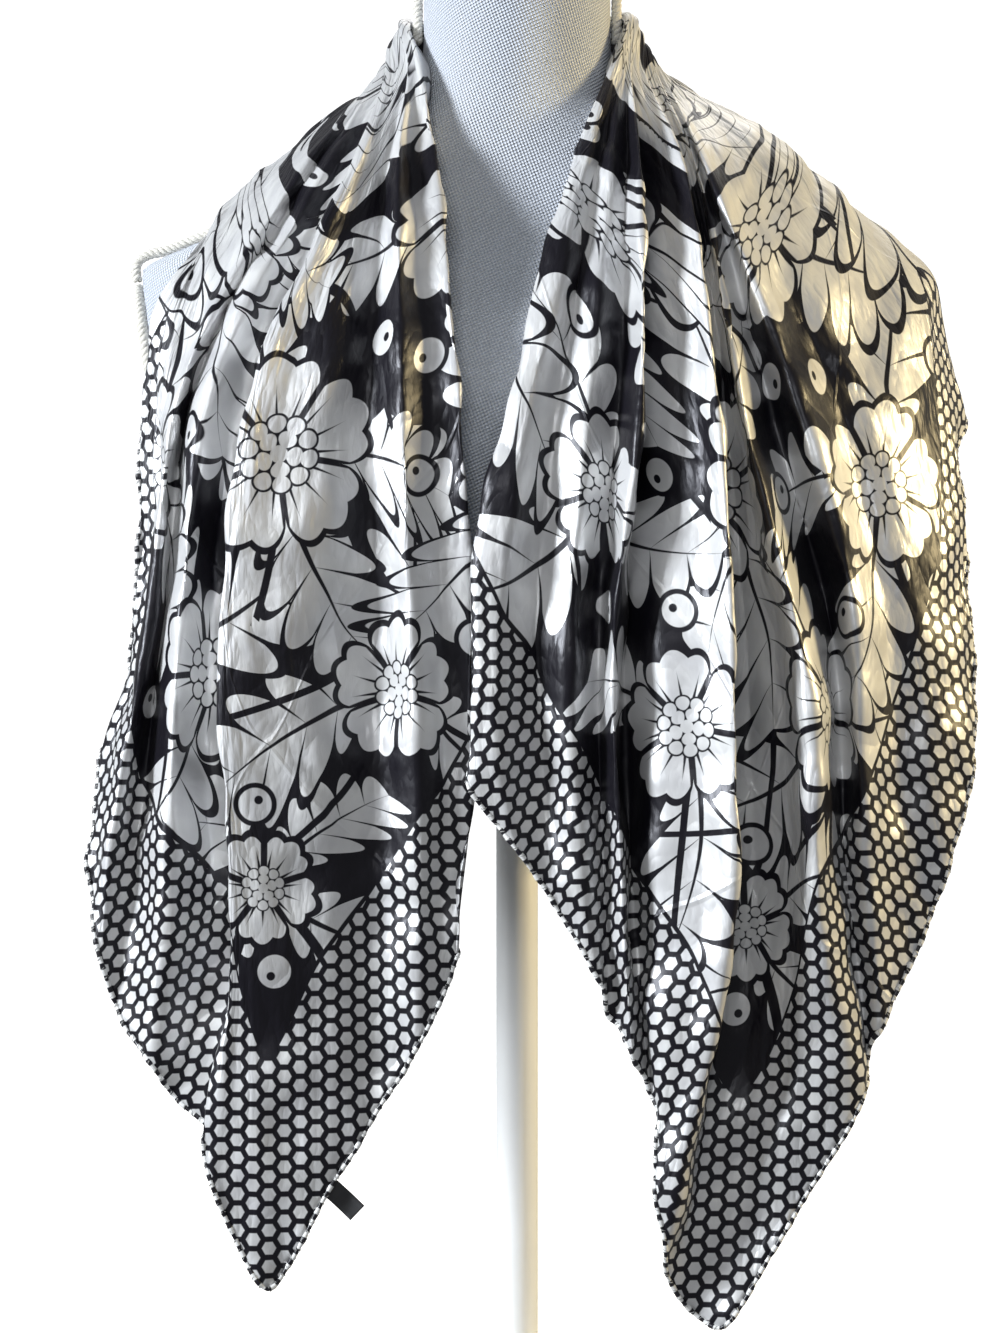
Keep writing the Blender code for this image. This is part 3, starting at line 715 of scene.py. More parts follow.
def foldLine(fold, share, side):
    ripple = cloth["bandPleatDepth"] * fold.lift
    behind = bandPoint(share, cloth["bandStart"] - cloth["bandGap"], side, ripple)
    beside = bandPoint(share, cloth["throatTurn"] * share, side, ripple)
    stations = [behind, beside, throatPoint(share, side, fold.lift)]
    stations += [charted(*station) for station in fold[3:]]
    return smoothRun(stations, cloth["rows"], cloth["lead"])


def between(low, high, value):
    t = np.clip((value - low) / (high - low), 0, 1)
    return t * t * (3 - 2 * t)


# Creases and soft waves, placed on the chart.

Crease = namedtuple("Crease", "startColumn startRow endColumn endRow heightMm widthMm")

leftCreases = table(Crease, (
    (247, 705, 352, 858, 1.6, 3.2),
    (254, 698, 360, 850, -1.3, 3.0),
    (366, 878, 436, 926, -1.2, 5.0),
    (400, 430, 398, 770, -2.2, 10.0),
    (440, 480, 452, 800, 1.2, 9.0),
    (345, 250, 318, 420, 1.5, 8.0),
    (372, 220, 360, 400, -1.4, 7.0),
    (300, 470, 280, 720, 1.3, 9.0),
    (330, 560, 345, 760, -1.2, 11.0),
    (255, 800, 275, 980, 1.5, 8.0),
    (300, 860, 316, 1080, -1.4, 9.0),
    (345, 930, 350, 1130, 1.2, 8.0),
    (385, 880, 400, 1040, -1.1, 8.0),
    (250, 1060, 268, 1230, 1.4, 7.0),
    (285, 1080, 292, 1240, -1.2, 7.0),
    (168, 880, 182, 980, 1.5, 5.0),
    (180, 900, 196, 1010, -1.4, 4.5),
    (150, 560, 140, 760, 1.2, 7.0),
    (190, 470, 176, 640, -1.3, 7.0),
    (262, 250, 226, 350, 1.6, 6.0),
    (240, 240, 206, 320, -1.4, 5.0),
    (300, 205, 262, 300, -1.3, 6.0),
    (418, 250, 424, 420, 0.9, 5.0),
    (160, 800, 120, 930, 1.3, 6.0),
    (205, 1010, 190, 1100, 1.2, 5.0),
))

rightCreases = table(Crease, (
    (809, 337, 912, 420, 1.7, 3.4),
    (804, 345, 904, 428, -1.3, 3.0),
    (640, 300, 604, 560, 1.4, 7.0),
    (600, 330, 560, 600, -1.6, 8.0),
    (540, 470, 520, 700, 1.3, 8.0),
    (500, 600, 520, 800, -1.0, 6.0),
    (608, 930, 634, 968, 1.3, 4.0),
    (600, 948, 630, 1000, -1.3, 4.0),
    (560, 780, 610, 900, 1.2, 6.0),
    (660, 560, 668, 800, 1.2, 9.0),
    (690, 620, 694, 900, -1.5, 9.0),
    (680, 960, 672, 1120, 1.2, 7.0),
    (766, 650, 778, 770, 1.4, 4.5),
    (780, 660, 800, 764, -1.4, 4.0),
    (774, 520, 792, 640, 1.3, 6.0),
    (752, 760, 768, 960, -1.4, 7.0),
    (776, 900, 790, 1100, 1.2, 7.0),
    (740, 1080, 752, 1240, -1.3, 7.0),
    (834, 935, 866, 1050, 1.5, 5.0),
    (846, 920, 880, 1030, -1.4, 5.0),
    (884, 876, 922, 912, 1.5, 4.0),
    (880, 892, 916, 934, -1.4, 4.0),
    (860, 640, 880, 840, 1.2, 8.0),
    (900, 560, 920, 760, -1.3, 9.0),
    (846, 300, 884, 400, -1.5, 7.0),
    (790, 240, 846, 360, 1.5, 7.0),
    (750, 190, 800, 300, -1.4, 6.0),
    (880, 300, 924, 470, 1.2, 8.0),
    (830, 430, 862, 560, 1.4, 6.0),
    (730, 240, 764, 370, 1.3, 5.0),
    (668, 240, 684, 420, -1.3, 6.0),
    (655, 560, 640, 640, 1.0, 5.0),
))

Wave = namedtuple("Wave", "degrees length heightMm phase")

waves = table(Wave, (
    (20, 0.062, 0.70, 0.4),
    (68, 0.085, 0.80, 1.9),
    (115, 0.047, 0.50, 3.1),
    (160, 0.110, 0.90, 0.9),
    (92, 0.036, 0.32, 2.2),
    (40, 0.029, 0.26, 4.4),
))


def creaseHeights(points, creases):
    columns, rows = columnsAndRows(points)
    step = chart["step"] * 1000
    height = np.zeros(columns.shape)
    for crease in creases:
        start = np.array([crease.startColumn, crease.startRow]) * step
        along = np.array([crease.endColumn, crease.endRow]) * step - start
        length = np.linalg.norm(along)
        along /= length
        x, y = columns * step - start[0], rows * step - start[1]
        share = (x * along[0] + y * along[1]) / length
        aside = x * along[1] - y * along[0] + 0.9 * np.sin(share * 7 + crease.startRow)
        fade = np.sin(math.pi * np.clip(share, 0, 1)) ** 0.8
        height += crease.heightMm * fade * np.exp(-((aside / crease.widthMm) ** 2))
    return height


def waveHeights(across, down):
    height = np.zeros(across.shape)
    for wave in waves:
        turn = math.radians(wave.degrees)
        way = across * math.cos(turn) + down * math.sin(turn)
        sway = 0.6 * np.sin(down * 23 + wave.phase * 3)
        height += wave.heightMm * np.sin(2 * math.pi * way / wave.length + wave.phase + sway)
    return height


def hemHeights(across, hemDistance):
    wave = np.sin(across * 2 * math.pi / 0.034 + 1.3 * np.sin(across * 41))
    wave = wave + 0.6 * np.sin(across * 2 * math.pi / 0.019 + 1)
    return 1.1 * wave * np.exp(-hemDistance / 0.012)


def gatherHeights(across, down):
    # small pleats that run out from the throat
    wave = np.sin(across * 2 * math.pi / 0.017 + 1.7 * np.sin(across * 37))
    shown = between(*cloth["gathers"], down) * (1 - between(*cloth["gathersEnd"], down))
    return 0.35 * wave * shown


def surfaceNormals(grid):
    down = np.gradient(grid, axis=1)
    across = np.gradient(grid, axis=0)
    normals = np.cross(down, across)
    normals /= np.linalg.norm(normals, axis=2, keepdims=True).clip(1e-12)
    return normals


def widthShown(grid, q, down):
    # the width of the cloth that shows, counted from its middle line
    gap = np.linalg.norm(np.diff(grid, axis=0), axis=2)
    width = np.sqrt(np.maximum(gap**2 - np.diff(down, axis=0)**2, (0.35 * gap) ** 2))
    shown = np.concatenate([np.zeros((1, grid.shape[1])), np.cumsum(width, axis=0)])
    return shown - shown[np.argmin(abs(q[:, 0]))]


def widthLevel(grid, q):
    # the same, counted along level lines
    sunk = np.maximum.accumulate(-grid[:, :, 2], axis=1)
    levels = np.linspace(sunk.min(), sunk.max(), 240)
    places = np.array([
        [np.interp(levels, sunk[c], grid[c, :, axis]) for axis in (0, 1)] for c in range(len(grid))
    ])
    steps = np.linalg.norm(np.diff(places, axis=0), axis=1)
    shown = np.concatenate([np.zeros((1, len(levels))), np.cumsum(steps, axis=0)])
    shown = shown - shown[np.argmin(abs(q[:, 0]))]
    return np.array([np.interp(sunk[c], levels, shown[c]) for c in range(len(grid))])


def printPlaces(grid, q, down):
    # where each point lies on the print; below the chest the cloth hangs straight down
    level = printLook["corner"] + grid[:, -1, 2].min() - grid[:, :, 2]
    hanging = between(*cloth["hangs"], down)
    shown = widthShown(grid, q, down)
    across = shown * (1 - hanging) + widthLevel(grid, q) * hanging
    # above the chest the gathers swallow more and more of the cloth
    top, edge, soft = cloth["held"]
    held = np.array([np.interp(edge, down[c], shown[c]) for c in range(len(q))])[:, None]
    held = held * (1 - (1 - cloth["gathered"]) * (1 - between(top, edge, down)))
    share = 1 - between(edge - soft, edge + soft, down)
    across = across * (1 - share) + held * share
    return across, down * (1 - hanging) + level * hanging


def frontCloth(folds, side, creases):
    last = len(folds) - 1
    lines = np.array([foldLine(fold, i / last, side) for i, fold in enumerate(folds)])
    grid = betweenLines(lines, cloth["steps"])
    at = np.arange(len(grid))
    # the hem isn't stretched, so its own length gives the places across the cloth
    hem = lengthAlong(grid[:, -1]) / math.sqrt(2)
    corner = [fold.q for fold in folds].index(0.0) * cloth["steps"]
    qs = np.repeat((hem - hem[corner])[:, None], cloth["rows"], axis=1)
    lengths = np.array([lengthAlong(line) for line in grid])
    downs = printLook["corner"] - abs(qs) - (lengths[:, -1:] - lengths)
    hemDistance = (printLook["corner"] - downs - abs(qs)) / math.sqrt(2)
    shown, along = printPlaces(grid, qs, downs)
    free = between(*cloth["waved"], downs)
    height = creaseHeights(grid, creases) * between(*cloth["creased"], downs)
    height += waveHeights(shown, downs) * free
    height += hemHeights(qs, hemDistance) * free
    height += gatherHeights(shown, downs)
    edge = between(0.0, cloth["edgeColumns"], np.minimum(at, at[-1] - at))[:, None, None]
    share = cloth["edgeShare"] + (1 - cloth["edgeShare"]) * edge
    grid = grid + surfaceNormals(grid) * side * height[..., None] * share / 1000
    turnStart, turnEnd, turned = cloth["turned"][side]
    hidden = downs - turned * between(turnStart, turnEnd, qs)
    return grid, {"clothPlace": (qs, hidden), "printPlace": (shown, along)}


def liftAt(folds, share):
    at = share * (len(folds) - 1)
    return np.interp(at, range(len(folds)), [fold.lift for fold in folds])


def bandCloth():
    # the roll behind the neck: its pleats turn from the right front's into the left front's
    shares = np.linspace(0, 1, cloth["bandColumns"] + 1)
    start = cloth["bandStart"] - cloth["bandGap"]
    turns = np.linspace(start, math.pi - start, cloth["bandRows"])
    grid = []
    for share in shares:
        own = math.cos(2 * math.pi * cloth["bandPleats"] * share)
        right, left = liftAt(rightFolds, share), liftAt(leftFolds, share)
        line = []
        for turn in turns:
            across = (turn - start) / (math.pi - 2 * start)
            middle = math.sin(math.pi * across) ** 0.5 if 0 < across < 1 else 0.0
            lift = (right * (1 - across) + left * across) * (1 - middle) + own * middle
            lift += 0.5 * middle * math.sin(share * 61 + 2.2 * math.sin(turn * 2.3))
            line.append(bandPoint(share, turn, 1, cloth["bandPleatDepth"] * lift))
        grid.append(line)
    reach, drop = cloth["bandPrint"]
    across = np.repeat((shares[:, None] - 0.5) * reach, len(turns), axis=1)
    down = np.repeat(turns[None, :] * drop, len(shares), axis=0)
    return np.array(grid), {"clothPlace": (across * 1.4, down), "printPlace": (across, down)}


def newPiece(name, points, faces, material):
    mesh = bpy.data.meshes.new(name)
    mesh.from_pydata(np.asarray(points).reshape(-1, 3).tolist(), [], faces)
    mesh.update()
    mesh.shade_smooth()
    mesh.materials.append(material)
    piece = bpy.data.objects.new(name, mesh)
    bpy.context.scene.collection.objects.link(piece)
    return piece


def gridFaces(columns, rows, closed=False):
    faces = []
    for c in range(columns if closed else columns - 1):
        near, far = c * rows, (c + 1) % columns * rows
        faces += [(near + r, near + r + 1, far + r + 1, far + r) for r in range(rows - 1)]
    return faces


def ringFaces(count, around, closed=False):
    # a tube of rings; where it isn't closed it ends in two caps
    faces = []
    for r in range(count if closed else count - 1):
        near, far = r * around, (r + 1) % count * around
        faces += [
            (near + k, near + (k + 1) % around, far + (k + 1) % around, far + k) for k in range(around)
        ]
    if not closed:
        faces.append(tuple(range(around))[::-1])
        faces.append(tuple(range((count - 1) * around, count * around)))
    return faces


def addPlaces(piece, layer, across, down):
    corners = np.empty(len(piece.data.loops), np.int32)
    piece.data.loops.foreach_get("vertex_index", corners)
    places = np.stack([across.ravel() + 0.5, down.ravel()], axis=1)[corners]
    made = piece.data.uv_layers.new(name=layer, do_init=False)
    made.uv.foreach_set("vector", places.astype(np.float32).ravel())


def sheetPiece(name, grid, places, material, flip):
    columns, rows = grid.shape[:2]
    faces = gridFaces(columns, rows)
    if flip:
        faces = [face[::-1] for face in faces]
    piece = newPiece(name, grid, faces, material)
    for layer, (across, down) in places.items():
        addPlaces(piece, layer, across, down)
    wall = piece.modifiers.new("wall", "SOLIDIFY")
    wall.thickness = cloth["wall"]
    wall.offset = 0.0
    return piece


def sheetArea(grid):
    a = grid[1:, :-1] - grid[:-1, :-1]
    b = grid[:-1, 1:] - grid[:-1, :-1]
    c = grid[1:, 1:] - grid[1:, :-1]
    d = grid[1:, 1:] - grid[:-1, 1:]
    halves = np.linalg.norm(np.cross(a, b), axis=2) + np.linalg.norm(np.cross(c, d), axis=2)
    return float(halves.sum() / 2)


def framesAlong(points, closed=False):
    # directions across a run of points, carried along without twist
    ahead = np.roll(points, -1, axis=0) - points if closed else np.gradient(points, axis=0)
    ahead = unit(ahead)
    side = np.cross(ahead[0], (0.3, 1.0, 0.2))
    sides = []
    for direction in ahead:
        side = unit(side - direction * side.dot(direction))
        sides.append(side)
    sides = np.array(sides)
    return sides, np.cross(ahead, sides)


def tubeMesh(points, radius, around, closed=False):
    sides, lifts = (way[:, None] for way in framesAlong(points, closed))
    angles = np.linspace(0, 2 * math.pi, around, endpoint=False)[None, :, None]
    radii = np.broadcast_to(radius, (len(points),))[:, None, None]
    verts = points[:, None] + (np.cos(angles) * sides + np.sin(angles) * lifts) * radii
    return verts.reshape(-1, 3), ringFaces(len(points), around, closed)


def joined(parts):
    points, faces, shift = [], [], 0
    for partPoints, partFaces in parts:
        points.append(partPoints)
        faces += [tuple(k + shift for k in face) for face in partFaces]
        shift += len(partPoints)
    return np.vstack(points), faces


def evenly(points, step, closed=False):
    points = np.asarray(points, float)
    if closed:
        points = np.vstack([points, points[:1]])
    length = lengthAlong(points)
    count = max(3, int(round(length[-1] / step)) + 1)
    wanted = np.linspace(0, length[-1], count)
    made = np.stack([np.interp(wanted, length, points[:, c]) for c in range(3)], axis=1)
    return (made[:-1] if closed else made), length[-1]


satin = {
    "black": (0.006, 0.005, 0.010, 1.0),
    "white": (0.82, 0.82, 0.81, 1.0),
    "shadedWhite": (0.60, 0.60, 0.62, 1.0),
    "blackRoughness": 0.30,
    "whiteRoughness": 0.34,
    "cloudScale": 38.0,
    "cloudRoughness": 0.10,
    "crumples": ((20.0, 6.0), (52.0, 2.6), (120.0, 0.8)),   # noise scale, height in mm
    "press": (-0.32, -0.02, 0.32),   # where the folded scarf was pressed, across each edge
    "pressWidth": 0.0016,
    "pressHeightMm": 0.30,
    "threads": (2600.0, 260.0, 1.0),
    "threadHeightMm": 0.06,
}


def borderInk(ink, place, point):
    # white hexagons on black along the hem, with a black line inside them
    soft, pitch = printLook["edge"], printLook["hexPitch"]
    across, down = place.dot((1.0, 0.0, 0.0)), place.dot((0.0, 1.0, 0.0))
    slope = math.sqrt(0.5)
    hemDistance = (abs(across) + down).scaled(-slope, printLook["corner"] * slope)
    hexes = hexDistance(point.dot((1.0, 0.0, 0.0)), point.dot((0.0, 1.0, 0.0)), pitch)
    hexes = hexes.below(printLook["hexWhite"] * pitch, soft)
    border = hemDistance.below(printLook["border"], soft)
    inside = hemDistance.above(printLook["border"] + printLook["borderLine"], soft)
    return ink.smaller(inside).larger(hexes.smaller(border))


def satinMaterial(name, motifs, bordered):
    sockets = {"Specular IOR Level": 0.50, "Sheen Weight": 0.03, "Metallic": 0.32}
    material, shader = newMaterial(name, sockets)
    place, point = placeWire(material, "clothPlace"), placeWire(material, "printPlace")
    ink = motifsInk(point, motifs)
    if bordered:
        ink = borderInk(ink, place, point)
    cloudy = place.noise(satin["cloudScale"], 3.0)
    white = cloudy.above(0.5, 0.5).mixed(satin["shadedWhite"], satin["white"])
    spread = satin["whiteRoughness"] - satin["blackRoughness"]
    roughness = ink.scaled(spread, satin["blackRoughness"]) + cloudy * satin["cloudRoughness"]
    height = cloudy * 0.3
    stretched = place.vector("MULTIPLY", (1.0, 0.6, 1.0), 0)
    for scale, sizeMm in satin["crumples"]:
        height = height + abs(stretched.noise(scale, 1.5) - 0.5) * sizeMm
    for slope in (1, -1):
        along = place.dot((slope * math.sqrt(0.5), math.sqrt(0.5), 0.0))
        for press in satin["press"]:
            ridge = abs(along - press).scaled(-1 / satin["pressWidth"], 1.0).clamped()
            height = height + ridge * satin["pressHeightMm"]
    threads = place.vector("MULTIPLY", satin["threads"], 0).noise(1.0, 1.0)
    height = height + threads * satin["threadHeightMm"]
    feedShader(shader, ink.mixed(satin["black"], white), roughness, height, 0.001)
    return material


def printTiles(piece, places, motifs, border):
    # one material for the border and one for each tile, with the motifs that reach it
    q, down = places["clothPlace"]
    across, along = places["printPlace"]
    hemDistance = (printLook["corner"] - down - abs(q)) / math.sqrt(2)
    columns = len(printLook["tileColumns"]) + 1
    tiles = np.digitize(along, printLook["tileRows"]) * columns
    tiles += np.digitize(across, printLook["tileColumns"]) + 1
    tiles[hemDistance < printLook["border"]] = 0
    tile = np.maximum.reduce([tiles[:-1, :-1], tiles[1:, :-1], tiles[:-1, 1:], tiles[1:, 1:]])
    used = [index for index in range(1, tile.max() + 1) if (tile == index).any()]
    edged = hemDistance < printLook["border"] + printLook["borderLine"] * 2
    slots = np.zeros(tile.shape, np.int32)
    for slot, index in enumerate(used, 1):
        slots[tile == index] = slot
        mine = np.zeros(tiles.shape, bool)
        for a, b in ((0, 0), (0, 1), (1, 0), (1, 1)):
            mine[a:tile.shape[0] + a, b:tile.shape[1] + b] |= tile == index
        near = [motif for motif in motifs if motifReaches(motif, across[mine], along[mine])]
        piece.data.materials.append(satinMaterial(f"{piece.name}_{index}", near, edged[mine].any()))
    piece.data.materials[0] = border
    piece.data.polygons.foreach_set("material_index", slots.ravel())
    print(piece.name, "printed in", len(used), "tiles")


hemLook = {
    "radius": 0.00115,
    "around": 10,
    "spacing": 0.0012,
    "beyond": 0.0004,
    "wobbles": ((0.16, 0.013), (0.10, 0.0071)),   # share of the radius, length
    "dashPitch": 0.0060,
    "stitchGap": 0.0042,
    "stitchLength": 0.0021,
    "stitchRadius": 0.00020,
    "stitchReach": 1.10,
}

canvasLook = {
    "pitch": 0.00155,
    "threads": (115, 20),    # in degrees
    "dark": (0.40, 0.46, 0.58, 1.0),
    "light": (0.92, 0.94, 0.97, 1.0),
}

labelLook = {
    "root": (325, 1183, -127.9),   # charted
    "along": (0.72, 0.10, -0.69),
    "across": (-0.60, 0.0, -0.62),
    "length": 0.021,
    "width": 0.0095,
    "wall": 0.0006,
    "rows": 25,
    "columns": 11,
    "bow": 0.0016,           # how far it bows and bends back, and its edges curl forward
    "bend": 0.0008,
    "curl": 0.0005,
    "weave": 0.00045,
    "dark": (0.008, 0.008, 0.010, 1.0),
    "light": (0.035, 0.035, 0.040, 1.0),
}


def hemMaterial():
    # the print's border rolled over: dashes of white on black
    material, shader = newMaterial("satin_hem", {"Specular IOR Level": 0.55})
    place = placeWire(material, "clothPlace")
    dashes = place.dot((2 * math.pi / hemLook["dashPitch"], 0.0, 0.0)).sine().above(-0.05, 0.3)
    colour = dashes.mixed(satin["black"], satin["white"])
    feedShader(shader, colour, dashes.scaled(0.08, 0.34), place.noise(900.0, 2.0) * 0.15, 0.001)
    return material


def threadMaterial():
    sockets = {"Specular IOR Level": 0.4, "Sheen Weight": 0.2}
    material, shader = newMaterial("hem_thread", sockets)
    twist = objectWire(material).noise(2400.0, 2.0)
    colour = twist.mixed((0.30, 0.30, 0.30, 1.0), (0.62, 0.62, 0.60, 1.0))
    feedShader(shader, colour, twist.scaled(0.2, 0.5), twist, 0.0002)
    return material


def canvasMaterial():
    sockets = {"Specular IOR Level": 0.25, "Sheen Weight": 0.15}
    material, shader = newMaterial("form_canvas", sockets)
    place = uvWire(material, "clothPlace")
    turns = 2 * math.pi / canvasLook["pitch"]
    warp, weft = (
        place.dot((math.cos(way) * turns, math.sin(way) * turns, 0.0)).sine()
        for way in map(math.radians, canvasLook["threads"])
    )
    weave = warp * 0.6 + weft * 0.4
    tone = (weave.scaled(0.42, 0.36) + place.noise(14.0, 2.0) * 0.35).clamped()
    colour = tone.mixed(canvasLook["dark"], canvasLook["light"])
    feedShader(shader, colour, tone.scaled(-0.1, 0.86), weave, 0.0006)
    return material


def braidMaterial():
    sockets = {"Specular IOR Level": 0.3, "Sheen Weight": 0.3}
    material, shader = newMaterial("cotton_braid_yarn", sockets)
    place = objectWire(material)
    fibres = place.noise(1500.0, 3.0)
    tone = fibres * 0.6 + place.noise(60.0, 2.0) * 0.4
    colour = tone.mixed((0.60, 0.57, 0.50, 1.0), (0.88, 0.86, 0.80, 1.0))
    feedShader(shader, colour, fibres.scaled(0.15, 0.72), fibres, 0.0005)
    return material


def paintMaterial(name, level, roughness):
    sockets = {"Specular IOR Level": 0.5, "Coat Weight": 0.15}
    material, shader = newMaterial(name, sockets)
    place = objectWire(material)
    wear = place.noise(26.0, 4.0)
    worn = tuple(part * 0.90 for part in level)
    colour = wear.mixed((*worn, 1.0), (*level, 1.0))
    grain = place.noise(320.0, 2.0)
    feedShader(shader, colour, wear.scaled(0.16, roughness - 0.08), grain, 0.00008)
    return material


def tapeMaterial():
    sockets = {"Specular IOR Level": 0.5, "Sheen Weight": 0.2}
    material, shader = newMaterial("label_tape", sockets)
    place = uvWire(material, "clothPlace")
    turns = 2 * math.pi / labelLook["weave"]
    weave = place.dot((turns, 0.0, 0.0)).sine() * place.dot((0.0, turns, 0.0)).sine()
    colour = weave.scaled(0.5, 0.5).mixed(labelLook["dark"], labelLook["light"])
    feedShader(shader, colour, weave.scaled(0.06, 0.48), weave, 0.00006)
    return material


FormSection = namedtuple("FormSection", "z halfWidth front back power")

formSections = table(FormSection, (
    (0.372, 0.126, 0.082, 0.076, 2.3),
    (0.420, 0.140, 0.092, 0.084, 2.3),
    (0.470, 0.155, 0.102, 0.092, 2.3),
    (0.510, 0.168, 0.107, 0.096, 2.3),
    (0.545, 0.181, 0.104, 0.098, 2.3),
    (0.575, 0.192, 0.092, 0.094, 2.2),
    (0.598, 0.195, 0.076, 0.086, 2.1),
    (0.612, 0.190, 0.066, 0.076, 2.0),
    (0.6165, 0.184, 0.064, 0.073, 2.0),
    (0.620, 0.1745, 0.062, 0.070, 2.0),
    (0.630, 0.150, 0.059, 0.065, 2.0),
    (0.640, 0.131, 0.057, 0.061, 2.0),
    (0.650, 0.113, 0.055, 0.058, 2.0),
    (0.660, 0.096, 0.053, 0.056, 2.0),
    (0.670, 0.080, 0.051, 0.054, 2.0),
    (0.680, 0.066, 0.049, 0.052, 2.0),
    (0.692, 0.0545, 0.0475, 0.050, 2.0),
    (0.706, 0.0490, 0.0460, 0.0485, 2.0),
    (0.725, 0.0475, 0.0450, 0.0475, 2.0),
    (0.780, 0.0475, 0.0450, 0.0475, 2.0),
))

form = {
    "around": 144,
    "tall": 110,
    "inset": 0.0006,         # the fine body lies this far inside the faceted solid
    "armholeTopX": 0.1895,
    "armholeTopZ": 0.617,
    "armholeSlope": 0.18,
    "armholeZ": 0.561,
    "top": 0.780,
    "bottom": 0.372,
    "neckHalf": 0.0475,
    "backSeam": 0.004,
    "seam": 0.0003,
    "sharpFrom": math.radians(50),
    "pole": 0.0105,
    "baseRadius": 0.135,
    "baseHeight": 0.014,
}

braidLook = {
    "lift": 0.0022,
    "cord": 0.0027,          # the soft cord, a little over its solid
    "cordLead": 0.0085,
    "ring": 0.0028,
    "ringLead": 0.0095,
    "ringTall": 0.0415,
    "ringDeep": 0.0285,
    "neckFrom": 0.7265,
    "shoulderFrom": (0.0535, 0.0, 0.7030),
    "shoulderRows": (0.619, 0.70),
    "shoulderEnd": ((0.1875, 0.0, 0.6192), (0.1915, 0.0, 0.6150), (0.1912, 0.0, 0.6070)),
    "strands": 3,
    "strandPlace": 0.50,     # shares of the cord's radius
    "strandRadius": 0.53,
}


def armholeX(z):
    return form["armholeTopX"] - form["armholeSlope"] * (form["armholeTopZ"] - z)


def makeTorso(material):
    around, rows = form["around"], form["tall"]
    angles = (np.arange(around) + 0.5) * 2 * math.pi / around
    c, s = np.cos(angles), np.sin(angles)
    heights = np.linspace(form["bottom"], form["top"], rows)
    known = np.array(formSections)
    sections = np.stack([np.interp(heights, known[:, 0], part) for part in known.T[1:]], axis=1)
    wide = np.pad(sections[:, :3], ((1, 1), (0, 0)), mode="edge")
    sections[:, :3] = (wide[:-2] + 2 * wide[1:-1] + wide[2:]) / 4
    rings, places = [], []
    order = np.argsort((np.arange(around) - around // 4) % around)
    for z, (halfWidth, front, back, power) in zip(heights, sections):
        depth = np.where(s > 0, back, front) - form["inset"]
        x = np.sign(c) * abs(c) ** (2 / power) * (halfWidth - form["inset"])
        y = np.sign(s) * abs(s) ** (2 / power) * depth
        if z < form["armholeTopZ"]:
            flat = armholeX(z) - form["inset"]
            x = np.clip(x, -flat, flat)
        rings.append(np.stack([x, y, np.full_like(x, z)], axis=1))
        arc = np.zeros(len(x))
        arc[order] = lengthAlong(rings[-1][order])
        places.append(arc - arc[order[-1]] / 2)
    grid = np.array(rings)
    torso = newPiece("form_body_canvas", grid, ringFaces(rows, around), material)
    torso.data.set_sharp_from_angle(angle=form["sharpFrom"])
    addPlaces(torso, "clothPlace", np.array(places), grid[:, :, 2])
    # the canvas meets itself down the middle of the back
    layer = torso.data.uv_layers["clothPlace"]
    uvs = np.empty(len(torso.data.loops) * 2, np.float32)
    layer.uv.foreach_get("vector", uvs)
    quads = uvs[:(rows - 1) * around * 8].reshape(-1, 4, 2)
    highest = quads[:, :, 0].max(axis=1, keepdims=True)
    wrapped = quads[:, :, 0] < highest - 0.1
    quads[:, :, 0] = np.where(wrapped, highest + form["backSeam"], quads[:, :, 0])
    layer.uv.foreach_set("vector", uvs)
    return torso


def turnedPiece(name, profile, steps, material):
    mesh = bpy.data.meshes.new(name)
    edges = [(i, i + 1) for i in range(len(profile) - 1)]
    mesh.from_pydata([(radius, 0, z) for radius, z in profile], edges, [])
    piece = bpy.data.objects.new(name, mesh)
    bpy.context.scene.collection.objects.link(piece)
    mesh.materials.append(material)
    screw = piece.modifiers.new("turn", "SCREW")
    screw.steps = steps
    screw.render_steps = steps
    screw.use_merge_vertices = True
    screw.merge_threshold = 0.00002
    screw.use_normal_flip = True
    screw.use_smooth_shade = True
    edge = piece.modifiers.new("edge", "BEVEL")
    edge.width = 0.0006
    edge.segments = 2
    edge.limit_method = "ANGLE"
    edge.angle_limit = math.radians(35)
    return piece


def ropePiece(name, path, radius, lead, closed, material):
    # strands laid round each other
    points, length = evenly(path, lead / 12, closed)
    if closed:
        lead = length / round(length / lead)
    sides, lifts = framesAlong(points, closed)
    at = np.arange(len(points)) * length / (len(points) if closed else len(points) - 1)
    strands = braidLook["strands"]
    parts = []
    for strand in range(strands):
        turn = (2 * math.pi * at / lead + strand * 2 * math.pi / strands)[:, None]
        out = (np.cos(turn) * sides + np.sin(turn) * lifts) * radius * braidLook["strandPlace"]
        parts.append(tubeMesh(points + out, radius * braidLook["strandRadius"], 8, closed))
    return newPiece(name, *joined(parts), material)


def shoulderPath():
    # along the top of the shoulder, then down to the armhole's ring
    low, high = braidLook["shoulderRows"]
    crest = np.array([(s.halfWidth, s.z) for s in formSections if low < s.z < high][::-1])
    inward = np.gradient(crest, axis=0)
    normal = unit(np.stack([-inward[:, 1], inward[:, 0]], axis=1))
    lifted = crest + normal * (braidLook["lift"] + 2 * form["seam"])
    points = [braidLook["shoulderFrom"], *((x, 0.0, z) for x, z in lifted), *braidLook["shoulderEnd"]]
    return smoothRun(points, 90)


